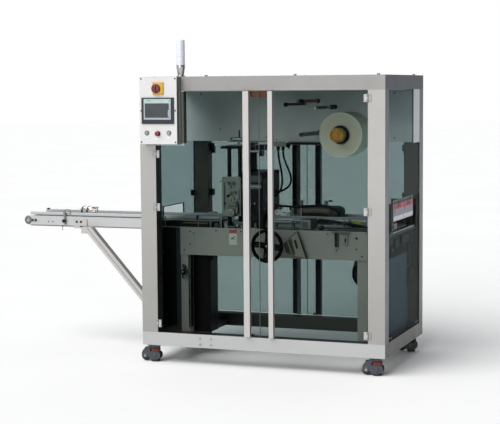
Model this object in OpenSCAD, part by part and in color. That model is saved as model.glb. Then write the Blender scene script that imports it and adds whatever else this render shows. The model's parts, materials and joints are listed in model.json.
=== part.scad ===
// Carton sealing machine with a glazed enclosure, an infeed conveyor and a film roll.
// X runs along the carton path, from the infeed to the outfeed. The front faces -Y, and
// the machine stands on Z = 0. The origin is the centre of the footprint, on the floor.

/* [Enclosure] */
// Width of the enclosure frame
frame_w = 1500; // [1400:10:1700]
// Depth of the enclosure frame
frame_d = 890; // [890:10:1000]
// Height of the top of the frame above the floor
frame_top = 1706; // [1706:2:1800]
// Height of the casters, from the floor to the underside of the frame
caster_h = 106; // [106:1:110]
// Width of a corner post, seen from the front
post_w = 100; // [90:1:110]
// Depth of a corner post and width of the rails, seen from above
post_d = 80; // [70:1:90]
// Height of the bottom rails
base_rail_h = 80; // [70:1:90]
// Height of the top rails
top_rail_h = 84; // [70:1:90]
// Wall of the folded frame members
frame_wall = 3; // [2:0.5:4]

/* [Doors] */
// Thickness of the tinted panels
glass_t = 6; // [4:1:8]
// Gap round each door
door_gap = 3; // [2:0.5:4]
// Width of a handle profile
handle_w = 36; // [30:1:40]
// Projection of a handle profile
handle_d = 25; // [20:1:28]
// Distance from the meeting line of the doors to a handle profile
handle_inset = 54; // [40:1:70]
// Height of a hinge
hinge_h = 44; // [36:1:50]
// Radius of a hinge knuckle
knuckle_r = 5; // [5:0.5:6]
// Radius of a hinge pin
pin_r = 2.5; // [2:0.1:3]

/* [Infeed conveyor] */
// Distance that the conveyor reaches out of the enclosure
infeed_reach = 1005; // [800:5:1100]
// Outer width of the conveyor
conveyor_w = 230; // [230:1:240]
// Height of the middle of the belt loop above the floor
belt_z = 798.5; // [798:0.5:800]
// Radius of the conveyor rollers
roller_r = 21.7; // [20:0.1:22]
// Length of the loop inside the enclosure, to the middle of the drive roller
belt_inner_reach = 330; // [300:5:340]

/* [Film] */
// Outer radius of the film roll
roll_r = 134; // [80:1:150]
// Length of the film roll
roll_l = 210; // [180:5:215]

/* [Control panel] */
// Width of the control panel
panel_w = 237; // [230:1:240]
// Height of the control panel
panel_h = 392; // [380:1:396]
// Projection of the control panel in front of the frame
panel_d = 65; // [60:1:66]

/* [Hidden] */
$fn = 48;
eps = 0.5;

// Running clearance of a shaft in its bore
fit = 0.06;

// Heights of the frame
rail_top = caster_h + base_rail_h;
rail_low = frame_top - top_rail_h;

// Fronts of the switch, the furthest forward piece, and of the rear handles
switch_plate_t = 8;
knob_h = 20;
front_reach = panel_d + switch_plate_t + knob_h;
total_w = frame_w + infeed_reach;
total_d = frame_d + front_reach + handle_d;
frame_x = infeed_reach - total_w / 2;
frame_y = front_reach - total_d / 2;

// Doors
mid_x = frame_w / 2;
hinge_x = post_w + door_gap / 2;
hinge_y = knuckle_r + 1;
hinge_leaf = 22;
hinge_leaf_t = 3;
hinge_clear = knuckle_r + 0.5;
hinge_left_z = [1252, 937, 240];
hinge_right_z = [1576, 937, 233];
hinge_rear_z = [1240, 760, 240];
cabinet_z = 1305;
door_low = rail_top + door_gap + 1;
door_high = rail_low - door_gap - 1;
rear_door_high = cabinet_z - door_gap;

// Control panel
panel_x = 30;
panel_z = frame_top - 2 - panel_h;
panel_shell = 2;
plate_t = 3;
panel_back = 46;
panel_recess_x = 281;
notch_x = 285;
notch_z = panel_z - 6;
button_z = 1378;
start_x = 75;
stop_x = 146;
reset_x = 216;
button_r = 11;
button_stem_r = 8;
e_stop_r = 15;
e_stop_z = 1374;
switch_x = 143;
switch_z = 1637;
switch_size = 68;
knob_r = 27;
knob_stem_r = 6;

// Tower light
tower_x = 250;
tower_y = 40;
tower_r = 26;
tower_base_h = 68;
tower_lens_h = 146;

// Carton path
path_y = 495;
near_plate_y = path_y - conveyor_w / 2;
side_plate_t = 6;
far_plate_y = path_y + conveyor_w / 2 - side_plate_t;
side_plate_r = 28.5;
nose_x = side_plate_r - infeed_reach;
plate_end_x = 360;
belt_t = 2;
belt_gap = 0.3;
belt_y = near_plate_y + 13;
belt_w = conveyor_w - 26;
journal_r = 8;
lane_z = 820;
guide_low = 836;
guide_high = 850;
guide_t = 6;
guide_from = 40 - infeed_reach;
guide_rod_r = 6;
guide_rod_z = 843;
guide_rod_x = [-710, 200];
inlet_y = [304, 622];
inlet_top = 913;
left_split_z = 764;
outlet_y = [200, 735];
outlet_z = [795, 965];

// Strut under the conveyor
strut = 45;
strut_y = 330;
strut_top_x = -535;
strut_foot_z = 172;
strut_angle = atan2(belt_z - side_plate_r - strut_foot_z, -strut_top_x);

// Bed
bed_x = [166, 1340];
bed_z = [634, 802];
bed_front = 200;
bed_plate_t = 8;
bed_rear = 640;
leg_w = 60;
leg_d = 50;
leg_x = [bed_x[0], bed_x[1] - 2 - leg_w];
cross_z = 150;
wheel_x = 753;
wheel_z = 712;
wheel_y = 120;
wheel_r = 90;
wheel_tube_r = 10;
wheel_shaft_r = 10;

// Sealing head and height posts
rod_x = [425, 494];
rod_y = 365;
rod_r = 12.5;
head_base_z = 790;
head_top_z = 1262;
post_x = [800, 960];
post_y = 618;
post_r = 12;

// Film
roll_x = 1116;
roll_y = 410;
roll_z = 1356;
core_r = 38;
spindle_r = 18;
cabinet_y = 660;
guide_roller_x = 897;
guide_roller_z = 1555;
guide_roller_r = 14;
guide_shaft_r = 6;

// Cables from the cabinet to the sealing head: Bezier control points, round numbers
cable_r = 6;
cable_left = [[640, 650, 1245], [640, 650, 1150], [700, 640, 1070], [710, 520, 975], [650, 520, 975]];
cable_right = [[672, 650, 1245], [672, 650, 1130], [800, 600, 1090], [790, 480, 1000], [650, 480, 1000]];
cable_steps = 24;
cable_sides = 8;

// Casters
caster_x = 60;
caster_y = 50;
caster_trail = 58;
wheel_radius = 30;
wheel_w = 24;
wheel_lift = 3;
axle_r = 5;
pad_r = 25;
thumb_r = 26;

module at_frame() { translate([frame_x, frame_y, 0]) children(); }

// A box from its lowest to its highest corner
module box(low, high) { translate(low) cube(high - low); }

// A cylinder along Y from y0 to y1
module rod_along_y(x, z, r, y0, y1) {
  translate([x, y1, z]) rotate([90, 0, 0]) cylinder(r = r, h = y1 - y0);
}

module rod_along_z(x, y, r, z0, z1) { translate([x, y, z0]) cylinder(r = r, h = z1 - z0); }

module rod_along_x(y, z, r, x0, x1) {
  translate([x0, y, z]) rotate([0, 90, 0]) cylinder(r = r, h = x1 - x0);
}

// A ring of channel section, open below
module channel_ring(low_z, high_z) {
  difference() {
    box([0, 0, low_z], [frame_w, frame_d, high_z]);
    box([post_d, post_d, low_z - eps], [frame_w - post_d, frame_d - post_d, high_z + eps]);
    difference() {
      box([frame_wall, frame_wall, low_z - eps],
          [frame_w - frame_wall, frame_d - frame_wall, high_z - frame_wall]);
      box([post_d - frame_wall, post_d - frame_wall, low_z - 2 * eps],
          [frame_w - post_d + frame_wall, frame_d - post_d + frame_wall, high_z]);
    }
  }
}

module base_frame() {
  color("silver") at_frame() {
    channel_ring(caster_h, rail_top);
    for (x = [0, frame_w - 120], y = [0, frame_d - post_d])
      box([x + 1, y + 1, caster_h], [x + 119, y + post_d - 1, caster_h + 6]);
    for (x = leg_x) difference() {
      box([x, post_d - 1, caster_h + 4], [x + leg_w, frame_d - post_d + 1, cross_z]);
      box([x + frame_wall, post_d - 2, caster_h + 3],
          [x + leg_w - frame_wall, frame_d - post_d + 2, cross_z - frame_wall]);
    }
  }
}

module corner_posts() {
  color("silver") at_frame()
    for (x = [0, frame_w - post_w], y = [0, frame_d - post_d]) difference() {
      box([x, y, rail_top], [x + post_w, y + post_d, rail_low]);
      box([x + frame_wall, y + frame_wall, rail_top - eps],
          [x + post_w - frame_wall, y + post_d - frame_wall, rail_low + eps]);
    }
}

module top_frame() {
  color("silver") at_frame() {
    channel_ring(rail_low, frame_top);
    box([post_d - 1, post_d - 1, frame_top - frame_wall],
        [frame_w - post_d + 1, frame_d - post_d + 1, frame_top]);
  }
}

module left_side_panel() {
  color([0.35, 0.42, 0.42, 0.5]) at_frame() difference() {
    box([6, post_d, left_split_z + 2], [6 + glass_t, frame_d - post_d, rail_low]);
    box([0, inlet_y[0], left_split_z], [20, inlet_y[1], inlet_top]);
  }
}

module left_lower_panel() {
  color([0.2, 0.22, 0.22]) at_frame() {
    box([5, post_d, rail_top], [8, frame_d - post_d, left_split_z]);
    box([8, post_d + 20, left_split_z - 3], [28, frame_d - post_d - 20, left_split_z]);
  }
}

module right_side_panel() {
  color([0.35, 0.42, 0.42, 0.5]) at_frame() difference() {
    box([frame_w - 12, post_d, rail_top], [frame_w - 12 + glass_t, frame_d - post_d, rail_low]);
    box([frame_w - 20, outlet_y[0], outlet_z[0]], [frame_w, outlet_y[1], outlet_z[1]]);
  }
}

module rear_cabinet() {
  wall = 3;
  back_y = frame_d - post_d - 4;
  strip_x = [585, 696];
  color([0.3, 0.33, 0.32]) at_frame() {
    difference() {
      union() {
        box([14, cabinet_y, cabinet_z], [frame_w - 14, back_y, rail_low - 2]);
        box([post_w + 3, back_y - 1, cabinet_z + 2], [frame_w - post_w - 3, frame_d - 4, rail_low - 2]);
      }
      box([14 + wall, cabinet_y + wall, cabinet_z + wall],
          [frame_w - 14 - wall, back_y - wall, rail_low - 2 - wall]);
      box([post_w + 3 + wall, back_y - 2 * wall, cabinet_z + 2 + wall],
          [frame_w - post_w - 3 - wall, frame_d - 4 - wall, rail_low - 2 - wall]);
      for (x = [300, 1080], i = [0:5])
        box([x, frame_d - 20, cabinet_z + 70 + 22 * i], [x + 120, frame_d, cabinet_z + 76 + 22 * i]);
    }
    // Strip with the cable glands, under the front edge
    box([strip_x[0], cabinet_y - 24, cabinet_z - 30], [strip_x[1], cabinet_y - 20, cabinet_z - 4]);
    box([strip_x[0], cabinet_y - 24, cabinet_z - 4], [strip_x[1], cabinet_y + 10, cabinet_z + 0.5]);
    box([strip_x[0], cabinet_y - 24, cabinet_z - 30], [strip_x[1], cabinet_y, cabinet_z - 26]);
    for (x = [cable_left[0][0], cable_right[0][0]]) {
      rod_along_z(x, cable_left[0][1], 9, cable_left[0][2] + 12, cabinet_z - 28);
      rod_along_z(x, cable_left[0][1], 7, cable_left[0][2], cable_left[0][2] + 13);
    }
  }
}

module frame_fasteners() {
  screw_r = 6;
  screw_h = 3;
  color("gainsboro") at_frame() {
    for (y = [150, 740], z = [rail_top + 16, rail_low - 16]) {
      rod_along_x(y, z, screw_r, frame_w - 6, frame_w - 6 + screw_h);
      rod_along_x(y, max(z, 790), screw_r, 6 - screw_h, 6);
    }
    for (y = [150, 740]) rod_along_x(y, 210, screw_r, 5 - screw_h, 5);
    for (x = [372, 441], z = [126, 161]) rod_along_y(x, z, screw_r, -screw_h, 0);
    for (x = [410, 958, 1450], y = [tower_y, frame_d - tower_y])
      rod_along_z(x, y, 9, frame_top, frame_top + 8);
  }
}

// One side of a butt hinge with its knuckles on the Z axis, leaf towards +X, face at Y = hinge_y
module hinge_leaf_part(low, high) {
  difference() {
    union() {
      box([0, hinge_y - hinge_leaf_t, low], [hinge_clear + 0.5, hinge_y, high]);
      translate([0, 0, low]) cylinder(r = knuckle_r, h = high - low);
    }
    translate([0, 0, low - eps]) cylinder(r = pin_r + fit, h = high - low + 2 * eps);
  }
}

module hinge_plate() {
  box([hinge_clear, hinge_y - hinge_leaf_t, -hinge_h / 2], [hinge_leaf, hinge_y, hinge_h / 2]);
}

// Door side: the middle knuckle
module hinge_door_side() {
  hinge_plate();
  hinge_leaf_part(-7.7, 7.7);
}

// Frame side: the outer knuckles with the pin
module hinge_frame_side() {
  hinge_plate();
  hinge_leaf_part(-hinge_h / 2, -8);
  hinge_leaf_part(8, hinge_h / 2);
  translate([0, 0, -hinge_h / 2]) cylinder(r = pin_r, h = hinge_h);
  for (z = [-hinge_h / 2, hinge_h / 2 - 4]) translate([0, 0, z]) cylinder(r = pin_r + 1, h = 4);
}

// Places a hinge at the left or right end of the front or the rear opening.
// side = 1 points the leaf inwards, to the door, and side = -1 outwards, to the post
module at_hinge(left, front, z, side) {
  x = left ? hinge_x : frame_w - hinge_x;
  y = front ? -hinge_y : frame_d + hinge_y;
  flip_x = (left ? 1 : -1) * side;
  translate([x, y, z]) mirror([flip_x < 0 ? 1 : 0, 0, 0]) mirror([0, front ? 0 : 1, 0]) children();
}

module hinge_bases() {
  color("whitesmoke") at_frame() {
    for (z = hinge_left_z) at_hinge(true, true, z, -1) hinge_frame_side();
    for (z = hinge_right_z) at_hinge(false, true, z, -1) hinge_frame_side();
    for (z = hinge_rear_z, left = [true, false]) at_hinge(left, false, z, -1) hinge_frame_side();
  }
}

// A handle profile standing on the outer face of a door, from x0, with a finger groove
module handle(x0, w, low, high, groove_right) {
  groove = 7;
  groove_x = groove_right ? x0 + w - groove : x0;
  difference() {
    box([x0, -handle_d, low], [x0 + w, 0, high]);
    box([groove_x - eps, -handle_d + 8, low - eps], [groove_x + groove + eps, -6, high + eps]);
  }
}

module left_door_panel() {
  color([0.35, 0.42, 0.42, 0.5]) at_frame() difference() {
    box([post_w + door_gap, 0, door_low], [mid_x - 2, glass_t, door_high]);
    box([post_w, -eps, notch_z], [notch_x, glass_t + eps, door_high + eps]);
  }
}

module left_door_fittings() {
  color("lightgray") at_frame() {
    handle(mid_x - handle_inset - handle_w, handle_w, door_low, door_high, true);
    for (z = hinge_left_z) at_hinge(true, true, z, 1) hinge_door_side();
  }
}

module right_door_panel() {
  color([0.35, 0.42, 0.42, 0.5]) at_frame()
    box([mid_x + 2, 0, door_low], [frame_w - post_w - door_gap, glass_t, door_high]);
}

module right_door_fittings() {
  color("lightgray") at_frame() {
    handle(mid_x + handle_inset + 8, handle_w - 8, door_low, door_high, false);
    for (z = hinge_right_z) at_hinge(false, true, z, 1) hinge_door_side();
  }
}

module at_rear() { translate([0, frame_d, 0]) mirror([0, 1, 0]) children(); }

module rear_left_door_panel() {
  color([0.35, 0.42, 0.42, 0.5]) at_frame() at_rear()
    box([post_w + door_gap, 0, door_low], [mid_x - 2, glass_t, rear_door_high]);
}

module rear_left_door_fittings() {
  color("lightgray") at_frame() {
    at_rear() handle(mid_x - handle_inset - handle_w, handle_w, door_low, rear_door_high, true);
    for (z = hinge_rear_z) at_hinge(true, false, z, 1) hinge_door_side();
  }
}

module rear_right_door_panel() {
  color([0.35, 0.42, 0.42, 0.5]) at_frame() at_rear()
    box([mid_x + 2, 0, door_low], [frame_w - post_w - door_gap, glass_t, rear_door_high]);
}

module rear_right_door_fittings() {
  color("lightgray") at_frame() {
    at_rear() handle(mid_x + handle_inset, handle_w, door_low, rear_door_high, false);
    for (z = hinge_rear_z) at_hinge(false, false, z, 1) hinge_door_side();
  }
}

// Folded box behind the panel plate, and its part inside the door opening
module control_box() {
  top = panel_z + panel_h;
  recess_top = rail_low - 4;
  color("gainsboro") at_frame() {
    difference() {
      box([panel_x, plate_t - panel_d, panel_z], [panel_x + panel_w, 0, top]);
      box([panel_x + panel_shell, -panel_d, panel_z + panel_shell],
          [panel_x + panel_w - panel_shell, -panel_shell, top - panel_shell]);
    }
    difference() {
      box([post_w + 3, 0, panel_z + 2], [panel_recess_x, panel_back, recess_top]);
      box([post_w + 3 + panel_shell, panel_shell, panel_z + 2 + panel_shell],
          [panel_recess_x - panel_shell, panel_back - panel_shell, recess_top - panel_shell]);
      rod_along_y(180, panel_z + 60, 12, panel_back - 5, panel_back + 1);
    }
  }
}

module control_plate() {
  ring_t = 3;
  color("whitesmoke") at_frame() difference() {
    union() {
      box([panel_x, -panel_d, panel_z], [panel_x + panel_w, plate_t - panel_d, panel_z + panel_h]);
      for (x = [start_x, reset_x])
        rod_along_y(x, button_z, button_r + 3, -panel_d - ring_t, -panel_d + 1);
      rod_along_y(stop_x, e_stop_z, e_stop_r - 1, -panel_d - ring_t, -panel_d + 1);
    }
    for (x = [start_x, reset_x])
      rod_along_y(x, button_z, button_stem_r + fit, -panel_d - 5, -panel_d + 5);
    rod_along_y(stop_x, e_stop_z, button_stem_r + fit, -panel_d - 5, -panel_d + 5);
    rod_along_y(switch_x, switch_z, knob_stem_r + 2, -panel_d - 5, -panel_d + 5);
    box([55, -panel_d - 1, 1441], [240, -panel_d + 5, 1574]);
  }
}

module touch_screen() {
  screen_low = [45, 1431];
  screen_high = [250, 1584];
  bezel_t = 8;
  color([0.25, 0.26, 0.3]) at_frame() {
    difference() {
      box([screen_low[0], -panel_d - bezel_t, screen_low[1]], [screen_high[0], -panel_d, screen_high[1]]);
      box([screen_low[0] + 12, -panel_d - bezel_t - 1, screen_low[1] + 24],
          [screen_high[0] - 18, -panel_d - bezel_t + 2.5, screen_high[1] - 6]);
    }
    box([56, -panel_d, 1442], [239, -panel_d + 34, 1573]);
  }
}

module switch_plate() {
  color("gold") at_frame() difference() {
    box([switch_x - switch_size / 2, -panel_d - switch_plate_t, switch_z - switch_size / 2],
        [switch_x + switch_size / 2, -panel_d, switch_z + switch_size / 2]);
    rod_along_y(switch_x, switch_z, knob_stem_r + fit, -panel_d - 12, -panel_d + 1);
  }
}

module switch_knob() {
  front = -panel_d - switch_plate_t;
  color("firebrick") at_frame() {
    rod_along_y(switch_x, switch_z, knob_r, front - knob_h + 12, front - 0.4);
    box([switch_x - 5, front - knob_h, switch_z - knob_r + 2],
        [switch_x + 5, front - knob_h + 12.5, switch_z + knob_r - 2]);
    rod_along_y(switch_x, switch_z, knob_stem_r, front - 0.5, -panel_d + 12);
  }
}

module e_stop_button() {
  color("firebrick") at_frame() {
    rod_along_y(stop_x, e_stop_z, e_stop_r, -panel_d - 22, -panel_d - 11);
    rod_along_y(stop_x, e_stop_z, button_stem_r, -panel_d - 12, -panel_d + 14);
  }
}

// A push button with a round cap
module push_button(x) {
  rod_along_y(x, button_z, button_r, -panel_d - 12, -panel_d - 8);
  rod_along_y(x, button_z, button_stem_r, -panel_d - 9, -panel_d + 14);
}

module start_button() { color("dimgray") at_frame() push_button(start_x); }

module reset_button() { color("dimgray") at_frame() push_button(reset_x); }

module tower_light_base() {
  color("silver") at_frame() {
    rod_along_z(tower_x, tower_y, tower_r, frame_top, frame_top + 6);
    translate([tower_x, tower_y, frame_top + 5])
      cylinder(r1 = tower_r - 6, r2 = tower_r, h = tower_base_h - 5);
  }
}

module tower_light_lens() {
  low = frame_top + tower_base_h;
  color([0.9, 0.92, 0.9]) at_frame() {
    rod_along_z(tower_x, tower_y, tower_r, low, low + tower_lens_h - 10);
    rod_along_z(tower_x, tower_y, tower_r - 2, low + tower_lens_h - 11, low + tower_lens_h);
  }
}

module bed_side_plates() {
  color([0.45, 0.47, 0.43]) at_frame() {
    difference() {
      union() {
        box([bed_x[0], bed_front, bed_z[0]], [bed_x[1], bed_front + bed_plate_t, bed_z[1]]);
        rod_along_y(wheel_x, wheel_z, 26, bed_front - 20, bed_front + 1);
      }
      rod_along_y(wheel_x, wheel_z, wheel_shaft_r + fit, bed_front - 30, bed_front + 20);
      for (x = [255, 640, 1275]) rod_along_y(x, 764, 5, bed_front - 1, bed_front + 20);
    }
    box([bed_x[0], bed_rear, bed_z[0]], [bed_x[1], bed_rear + bed_plate_t, bed_z[1]]);
  }
}

module bed_legs() {
  tube = 3;
  front_y = bed_front + bed_plate_t;
  rear_y = bed_rear - leg_d;
  color([0.45, 0.47, 0.43]) at_frame() for (x = leg_x) {
    for (y = [front_y, rear_y]) difference() {
      box([x, y, cross_z], [x + leg_w, y + leg_d, bed_z[1] - 36]);
      box([x + tube, y + tube, cross_z - eps], [x + leg_w - tube, y + leg_d - tube, bed_z[1]]);
    }
    difference() {
      box([x + 10, front_y + leg_d, bed_z[0] + 6], [x + 50, rear_y, bed_z[0] + 46]);
      box([x + 13, front_y + leg_d - 1, bed_z[0] + 9], [x + 47, rear_y + 1, bed_z[0] + 43]);
    }
  }
}

module bed_end_cover() {
  cover_x = 1456;
  sheet = 3;
  cover_y = [210, 654];
  color([0.3, 0.36, 0.4]) at_frame() {
    box([cover_x, cover_y[0], rail_top], [cover_x + sheet, cover_y[1], 640]);
    for (y = [cover_y[0], cover_y[1] - sheet])
      box([bed_x[1], y, 570], [cover_x + 1, y + sheet, 640]);
  }
}

module drive_cabinet() {
  low = [200, 300, cross_z];
  high = [320, 420, 630];
  wall = [2, 2, 2];
  color([0.12, 0.12, 0.12]) at_frame() difference() {
    box(low, high);
    box(low + wall, high - wall);
    for (i = [0:4]) box([high[0] - 10, 325, 500 + 20 * i], [high[0] + 1, 395, 506 + 20 * i]);
  }
}

module height_posts() {
  color("silver") at_frame() {
    for (x = post_x) rod_along_z(x, post_y, post_r, 768, 944);
    box([post_x[0] - 24, post_y - 16, 738], [post_x[1] + 24, bed_rear, 768.5]);
  }
}

// A belt conveyor side plate, with a round nose, bearing holes and a tensioner slot
module side_plate(y) {
  difference() {
    union() {
      box([nose_x, y, belt_z - side_plate_r], [plate_end_x, y + side_plate_t, belt_z + side_plate_r]);
      rod_along_y(nose_x, belt_z, side_plate_r, y, y + side_plate_t);
    }
    for (x = [nose_x, belt_inner_reach])
      rod_along_y(x, belt_z, journal_r + fit, y - 1, y + side_plate_t + 1);
    box([nose_x + 24, y - 1, belt_z - 5], [nose_x + 56, y + side_plate_t + 1, belt_z + 5]);
  }
}

module conveyor_side_plates() {
  block_y = far_plate_y + side_plate_t;
  color([0.8, 0.8, 0.8]) at_frame() {
    side_plate(near_plate_y);
    side_plate(far_plate_y);
    for (x = [-600, -100, 250]) rod_along_y(x, belt_z, 8, near_plate_y + 5, far_plate_y + 1);
    // Blocks that hold the rods of the far guide rail
    for (x = guide_rod_x) difference() {
      box([x - 14, block_y - 1, belt_z - 6], [x + 14, block_y + 28, guide_rod_z + 15]);
      rod_along_y(x, guide_rod_z, guide_rod_r + fit, block_y - 2, block_y + 30);
    }
  }
}

// A flat oblong loop round both rollers
module belt_outline(r, y0, y1) {
  rod_along_y(nose_x, belt_z, r, y0, y1);
  rod_along_y(belt_inner_reach, belt_z, r, y0, y1);
  box([nose_x, y0, belt_z - r], [belt_inner_reach, y1, belt_z + r]);
}

module conveyor_belt() {
  inner_r = roller_r + belt_gap;
  color([0.25, 0.27, 0.27]) at_frame() difference() {
    belt_outline(inner_r + belt_t, belt_y, belt_y + belt_w);
    belt_outline(inner_r, belt_y - 1, belt_y + belt_w + 1);
  }
}

module conveyor_roller(x) {
  rod_along_y(x, belt_z, roller_r, belt_y - 1, belt_y + belt_w + 1);
  rod_along_y(x, belt_z, journal_r, near_plate_y - 4, far_plate_y + side_plate_t + 4);
}

module nose_roller() { color("silver") at_frame() conveyor_roller(nose_x); }

module drive_roller() { color("silver") at_frame() conveyor_roller(belt_inner_reach); }

// Grooved profile from the conveyor down to the foot of the frame, with its two brackets
module conveyor_strut() {
  low_z = belt_z - side_plate_r;
  length = 1100;
  groove = 8;
  color("silver") at_frame() {
    intersection() {
      translate([0, strut_y, strut_foot_z]) rotate([0, strut_angle, 0]) difference() {
        box([-length, 0, -strut / 2], [length / 4, strut, strut / 2]);
        for (y = [-eps, strut - 5])
          box([-length - 1, y, -groove / 2], [length, y + 5 + eps, groove / 2]);
        for (z = [-strut / 2 - eps, strut / 2 - 5])
          box([-length - 1, (strut - groove) / 2, z], [length, (strut + groove) / 2, z + 5 + eps]);
      }
      box([-1000, strut_y - 1, 100], [-6, strut_y + strut + 1, low_z - 0.5]);
    }
    box([strut_top_x - 110, near_plate_y - 6, low_z - 16], [strut_top_x - 18, near_plate_y, low_z + 42]);
    box([strut_top_x - 60, near_plate_y - 5.5, low_z - 48], [strut_top_x + 20, near_plate_y, low_z - 0.5]);
    for (x = [-90, -60]) rod_along_y(strut_top_x + x, low_z + 26, 5, near_plate_y - 10, near_plate_y - 5);
    box([-6, strut_y - 6, strut_foot_z - 46], [0, strut_y + strut + 30, strut_foot_z + 12]);
  }
}

module guide_bar(y) { box([guide_from, y, guide_low], [plate_end_x, y + guide_t, guide_high]); }

module near_guide_rail() {
  y = near_plate_y + 8;
  color("darkgray") at_frame() {
    guide_bar(y);
    for (x = [-716, -120, 200]) {
      box([x, near_plate_y - 5, belt_z - 6], [x + 12, near_plate_y, guide_high + 4]);
      box([x, near_plate_y - 5, guide_low + 2], [x + 12, y + 1, guide_high - 2]);
    }
  }
}

module far_guide_rail() {
  y = far_plate_y - guide_t - 2;
  color("darkgray") at_frame() {
    guide_bar(y);
    for (x = guide_rod_x) rod_along_y(x, guide_rod_z, guide_rod_r, y + guide_t - 1, y + 95);
  }
}

// Slide plate after the belt, with its side guides and the wide plate at the outlet
module outfeed_table() {
  start = plate_end_x + 8;
  end = bed_x[1];
  t = 4;
  y0 = near_plate_y + 12;
  y1 = far_plate_y - 6;
  exit_z = 800;
  exit_x = frame_w - 14;
  color([0.6, 0.62, 0.6]) at_frame() {
    box([start, y0, lane_z - t], [end, y1, lane_z]);
    for (y = [y0, y1 - t]) box([start, y, head_base_z], [end, y + t, lane_z]);
    for (y = [y0 - t, y1]) {
      box([675, y, 850], [1296, y + t, 866]);
      for (x = [675, 880, 1080, 1282]) box([x, y, lane_z - t], [x + 14, y + t, 851]);
    }
    box([end - t, y0, exit_z - t], [end, y1, lane_z]);
    box([end, 150, exit_z - t], [exit_x, outlet_y[1] - 4, exit_z]);
    box([exit_x - t, 150, exit_z - 20], [exit_x, outlet_y[1] - 4, exit_z]);
  }
}

module outfeed_guard() {
  guard_y = [245, 700];
  color([0.4, 0.4, 0.43]) at_frame() {
    box([frame_w - 20, guard_y[0], 862], [frame_w - 17, guard_y[1], 985]);
    for (y = [guard_y[0] + 20, guard_y[1] - 50])
      box([frame_w - 17.5, y, 968], [frame_w - 12, y + 30, 985]);
  }
}

module handwheel() {
  color([0.1, 0.1, 0.1]) at_frame() {
    translate([wheel_x, wheel_y, wheel_z]) rotate([90, 0, 0]) {
      rotate_extrude() translate([wheel_r, 0]) circle(r = wheel_tube_r);
      for (a = [10:90:280]) rotate([0, 0, a]) translate([12, 0, 0]) rotate([0, 90, 0])
        cylinder(r = 7, h = wheel_r - 14);
    }
    rod_along_y(wheel_x, wheel_z, 22, wheel_y - 14, wheel_y + 24);
    rod_along_y(wheel_x, wheel_z, wheel_shaft_r, wheel_y, bed_front + 60);
  }
}

// Sloping guard plate on stand-offs in front of the bed
module chute_guard() {
  front = 170;
  color([0.5, 0.52, 0.48]) at_frame() {
    translate([0, front + 3, 0]) rotate([90, 0, 0]) linear_extrude(3)
      polygon([[860, 744], [925, 798], [980, 642], [893, 651]]);
    for (p = [[925, 740], [935, 670]]) rod_along_y(p[0], p[1], 8, front + 2.5, bed_front);
  }
}

module head_columns() {
  column = 36;
  color([0.2, 0.2, 0.22]) at_frame() {
    box([380, bed_front + bed_plate_t, head_base_z - 18], [660, bed_rear, head_base_z]);
    for (x = rod_x) rod_along_z(x, rod_y, rod_r, head_base_z - 1, head_top_z + 20);
    box([385, rod_y - 20, head_top_z + 8], [650, 512, head_top_z + 26]);
    box([516, 472, 1128], [516 + column, 472 + column, head_top_z + 9]);
  }
}

// Portal over the carton path that holds the heaters and the drive of the head
module head_body() {
  low = [516, 330, head_base_z];
  high = [650, 638, 1128];
  tunnel = [380, 610];
  ceiling = 880;
  color([0.12, 0.12, 0.13]) at_frame() difference() {
    box(low, high);
    box([low[0] - 1, tunnel[0], low[2] - 1], [high[0] + 1, tunnel[1], ceiling]);
    box([low[0] + 8, low[1] + 8, ceiling + 10], [high[0] - 8, high[1] - 8, high[2] - 8]);
    rod_along_y(580, 1000, 18, high[1] - 20, high[1] + 1);
  }
}

module seal_head() {
  low = [388, 330, 863];
  high = [510, 340, 1102];
  mech_x = 452;
  color([0.35, 0.37, 0.36]) at_frame() {
    box(low, high);
    difference() {
      box([398, high[1] - 1, 930], [511, 386, 1060]);
      for (x = rod_x) rod_along_z(x, rod_y, rod_r + fit, 920, 1070);
    }
    rod_along_y(mech_x, 895, 22, low[1] - 30, low[1] + 1);
    box([mech_x - 14, low[1] - 26, 932], [mech_x + 16, low[1] + 1, 985]);
    rod_along_y(mech_x + 2, 1018, 14, low[1] - 18, low[1] + 1);
    rod_along_y(mech_x - 4, 1078, 9, low[1] - 24, low[1] + 1);
  }
}

// Press unit over the outfeed, raised by the handwheel
module overhead_unit() {
  r = 33;
  z = 855 + r;
  x0 = 808 + r;
  x1 = 1100 - r;
  y = [424, 560];
  color([0.15, 0.15, 0.16]) at_frame() {
    difference() {
      union() {
        box([x0, y[0], z - r], [x1, y[1], z + r]);
        for (x = [x0, x1]) rod_along_y(x, z, r, y[0], y[1]);
      }
      box([x0, y[0] + 4, z - r - 1], [x1, y[1] - 4, z + r - 4]);
    }
    // Bar along the back that reaches the left height post
    box([post_x[0] - 20, y[1] - 8, z - 18], [x0, y[1], z + 12]);
    for (x = post_x) difference() {
      box([x - 20, y[1] - 1, z - 18], [x + 20, post_y + 19, z + 12]);
      rod_along_z(x, post_y, post_r + fit, z - 40, z + 20);
    }
  }
}

// Shafts that stand out of the cabinet: film spindle, roller shaft and two fixed guide bars
module film_shafts() {
  color("silver") at_frame() {
    rod_along_y(roll_x, roll_z, spindle_r, roll_y - 60, cabinet_y);
    rod_along_y(roll_x, roll_z, 60, cabinet_y - 22, cabinet_y);
    rod_along_y(guide_roller_x, guide_roller_z, guide_shaft_r, 262, cabinet_y);
    rod_along_y(1005, 1518, 8, 262, cabinet_y);
    rod_along_y(905, 1359, 9, 330, cabinet_y);
  }
}

module film_roll() {
  color([0.75, 0.75, 0.68]) at_frame() difference() {
    rod_along_y(roll_x, roll_z, roll_r, roll_y, roll_y + roll_l);
    rod_along_y(roll_x, roll_z, core_r + 0.2, roll_y - 1, roll_y + roll_l + 1);
  }
}

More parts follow.
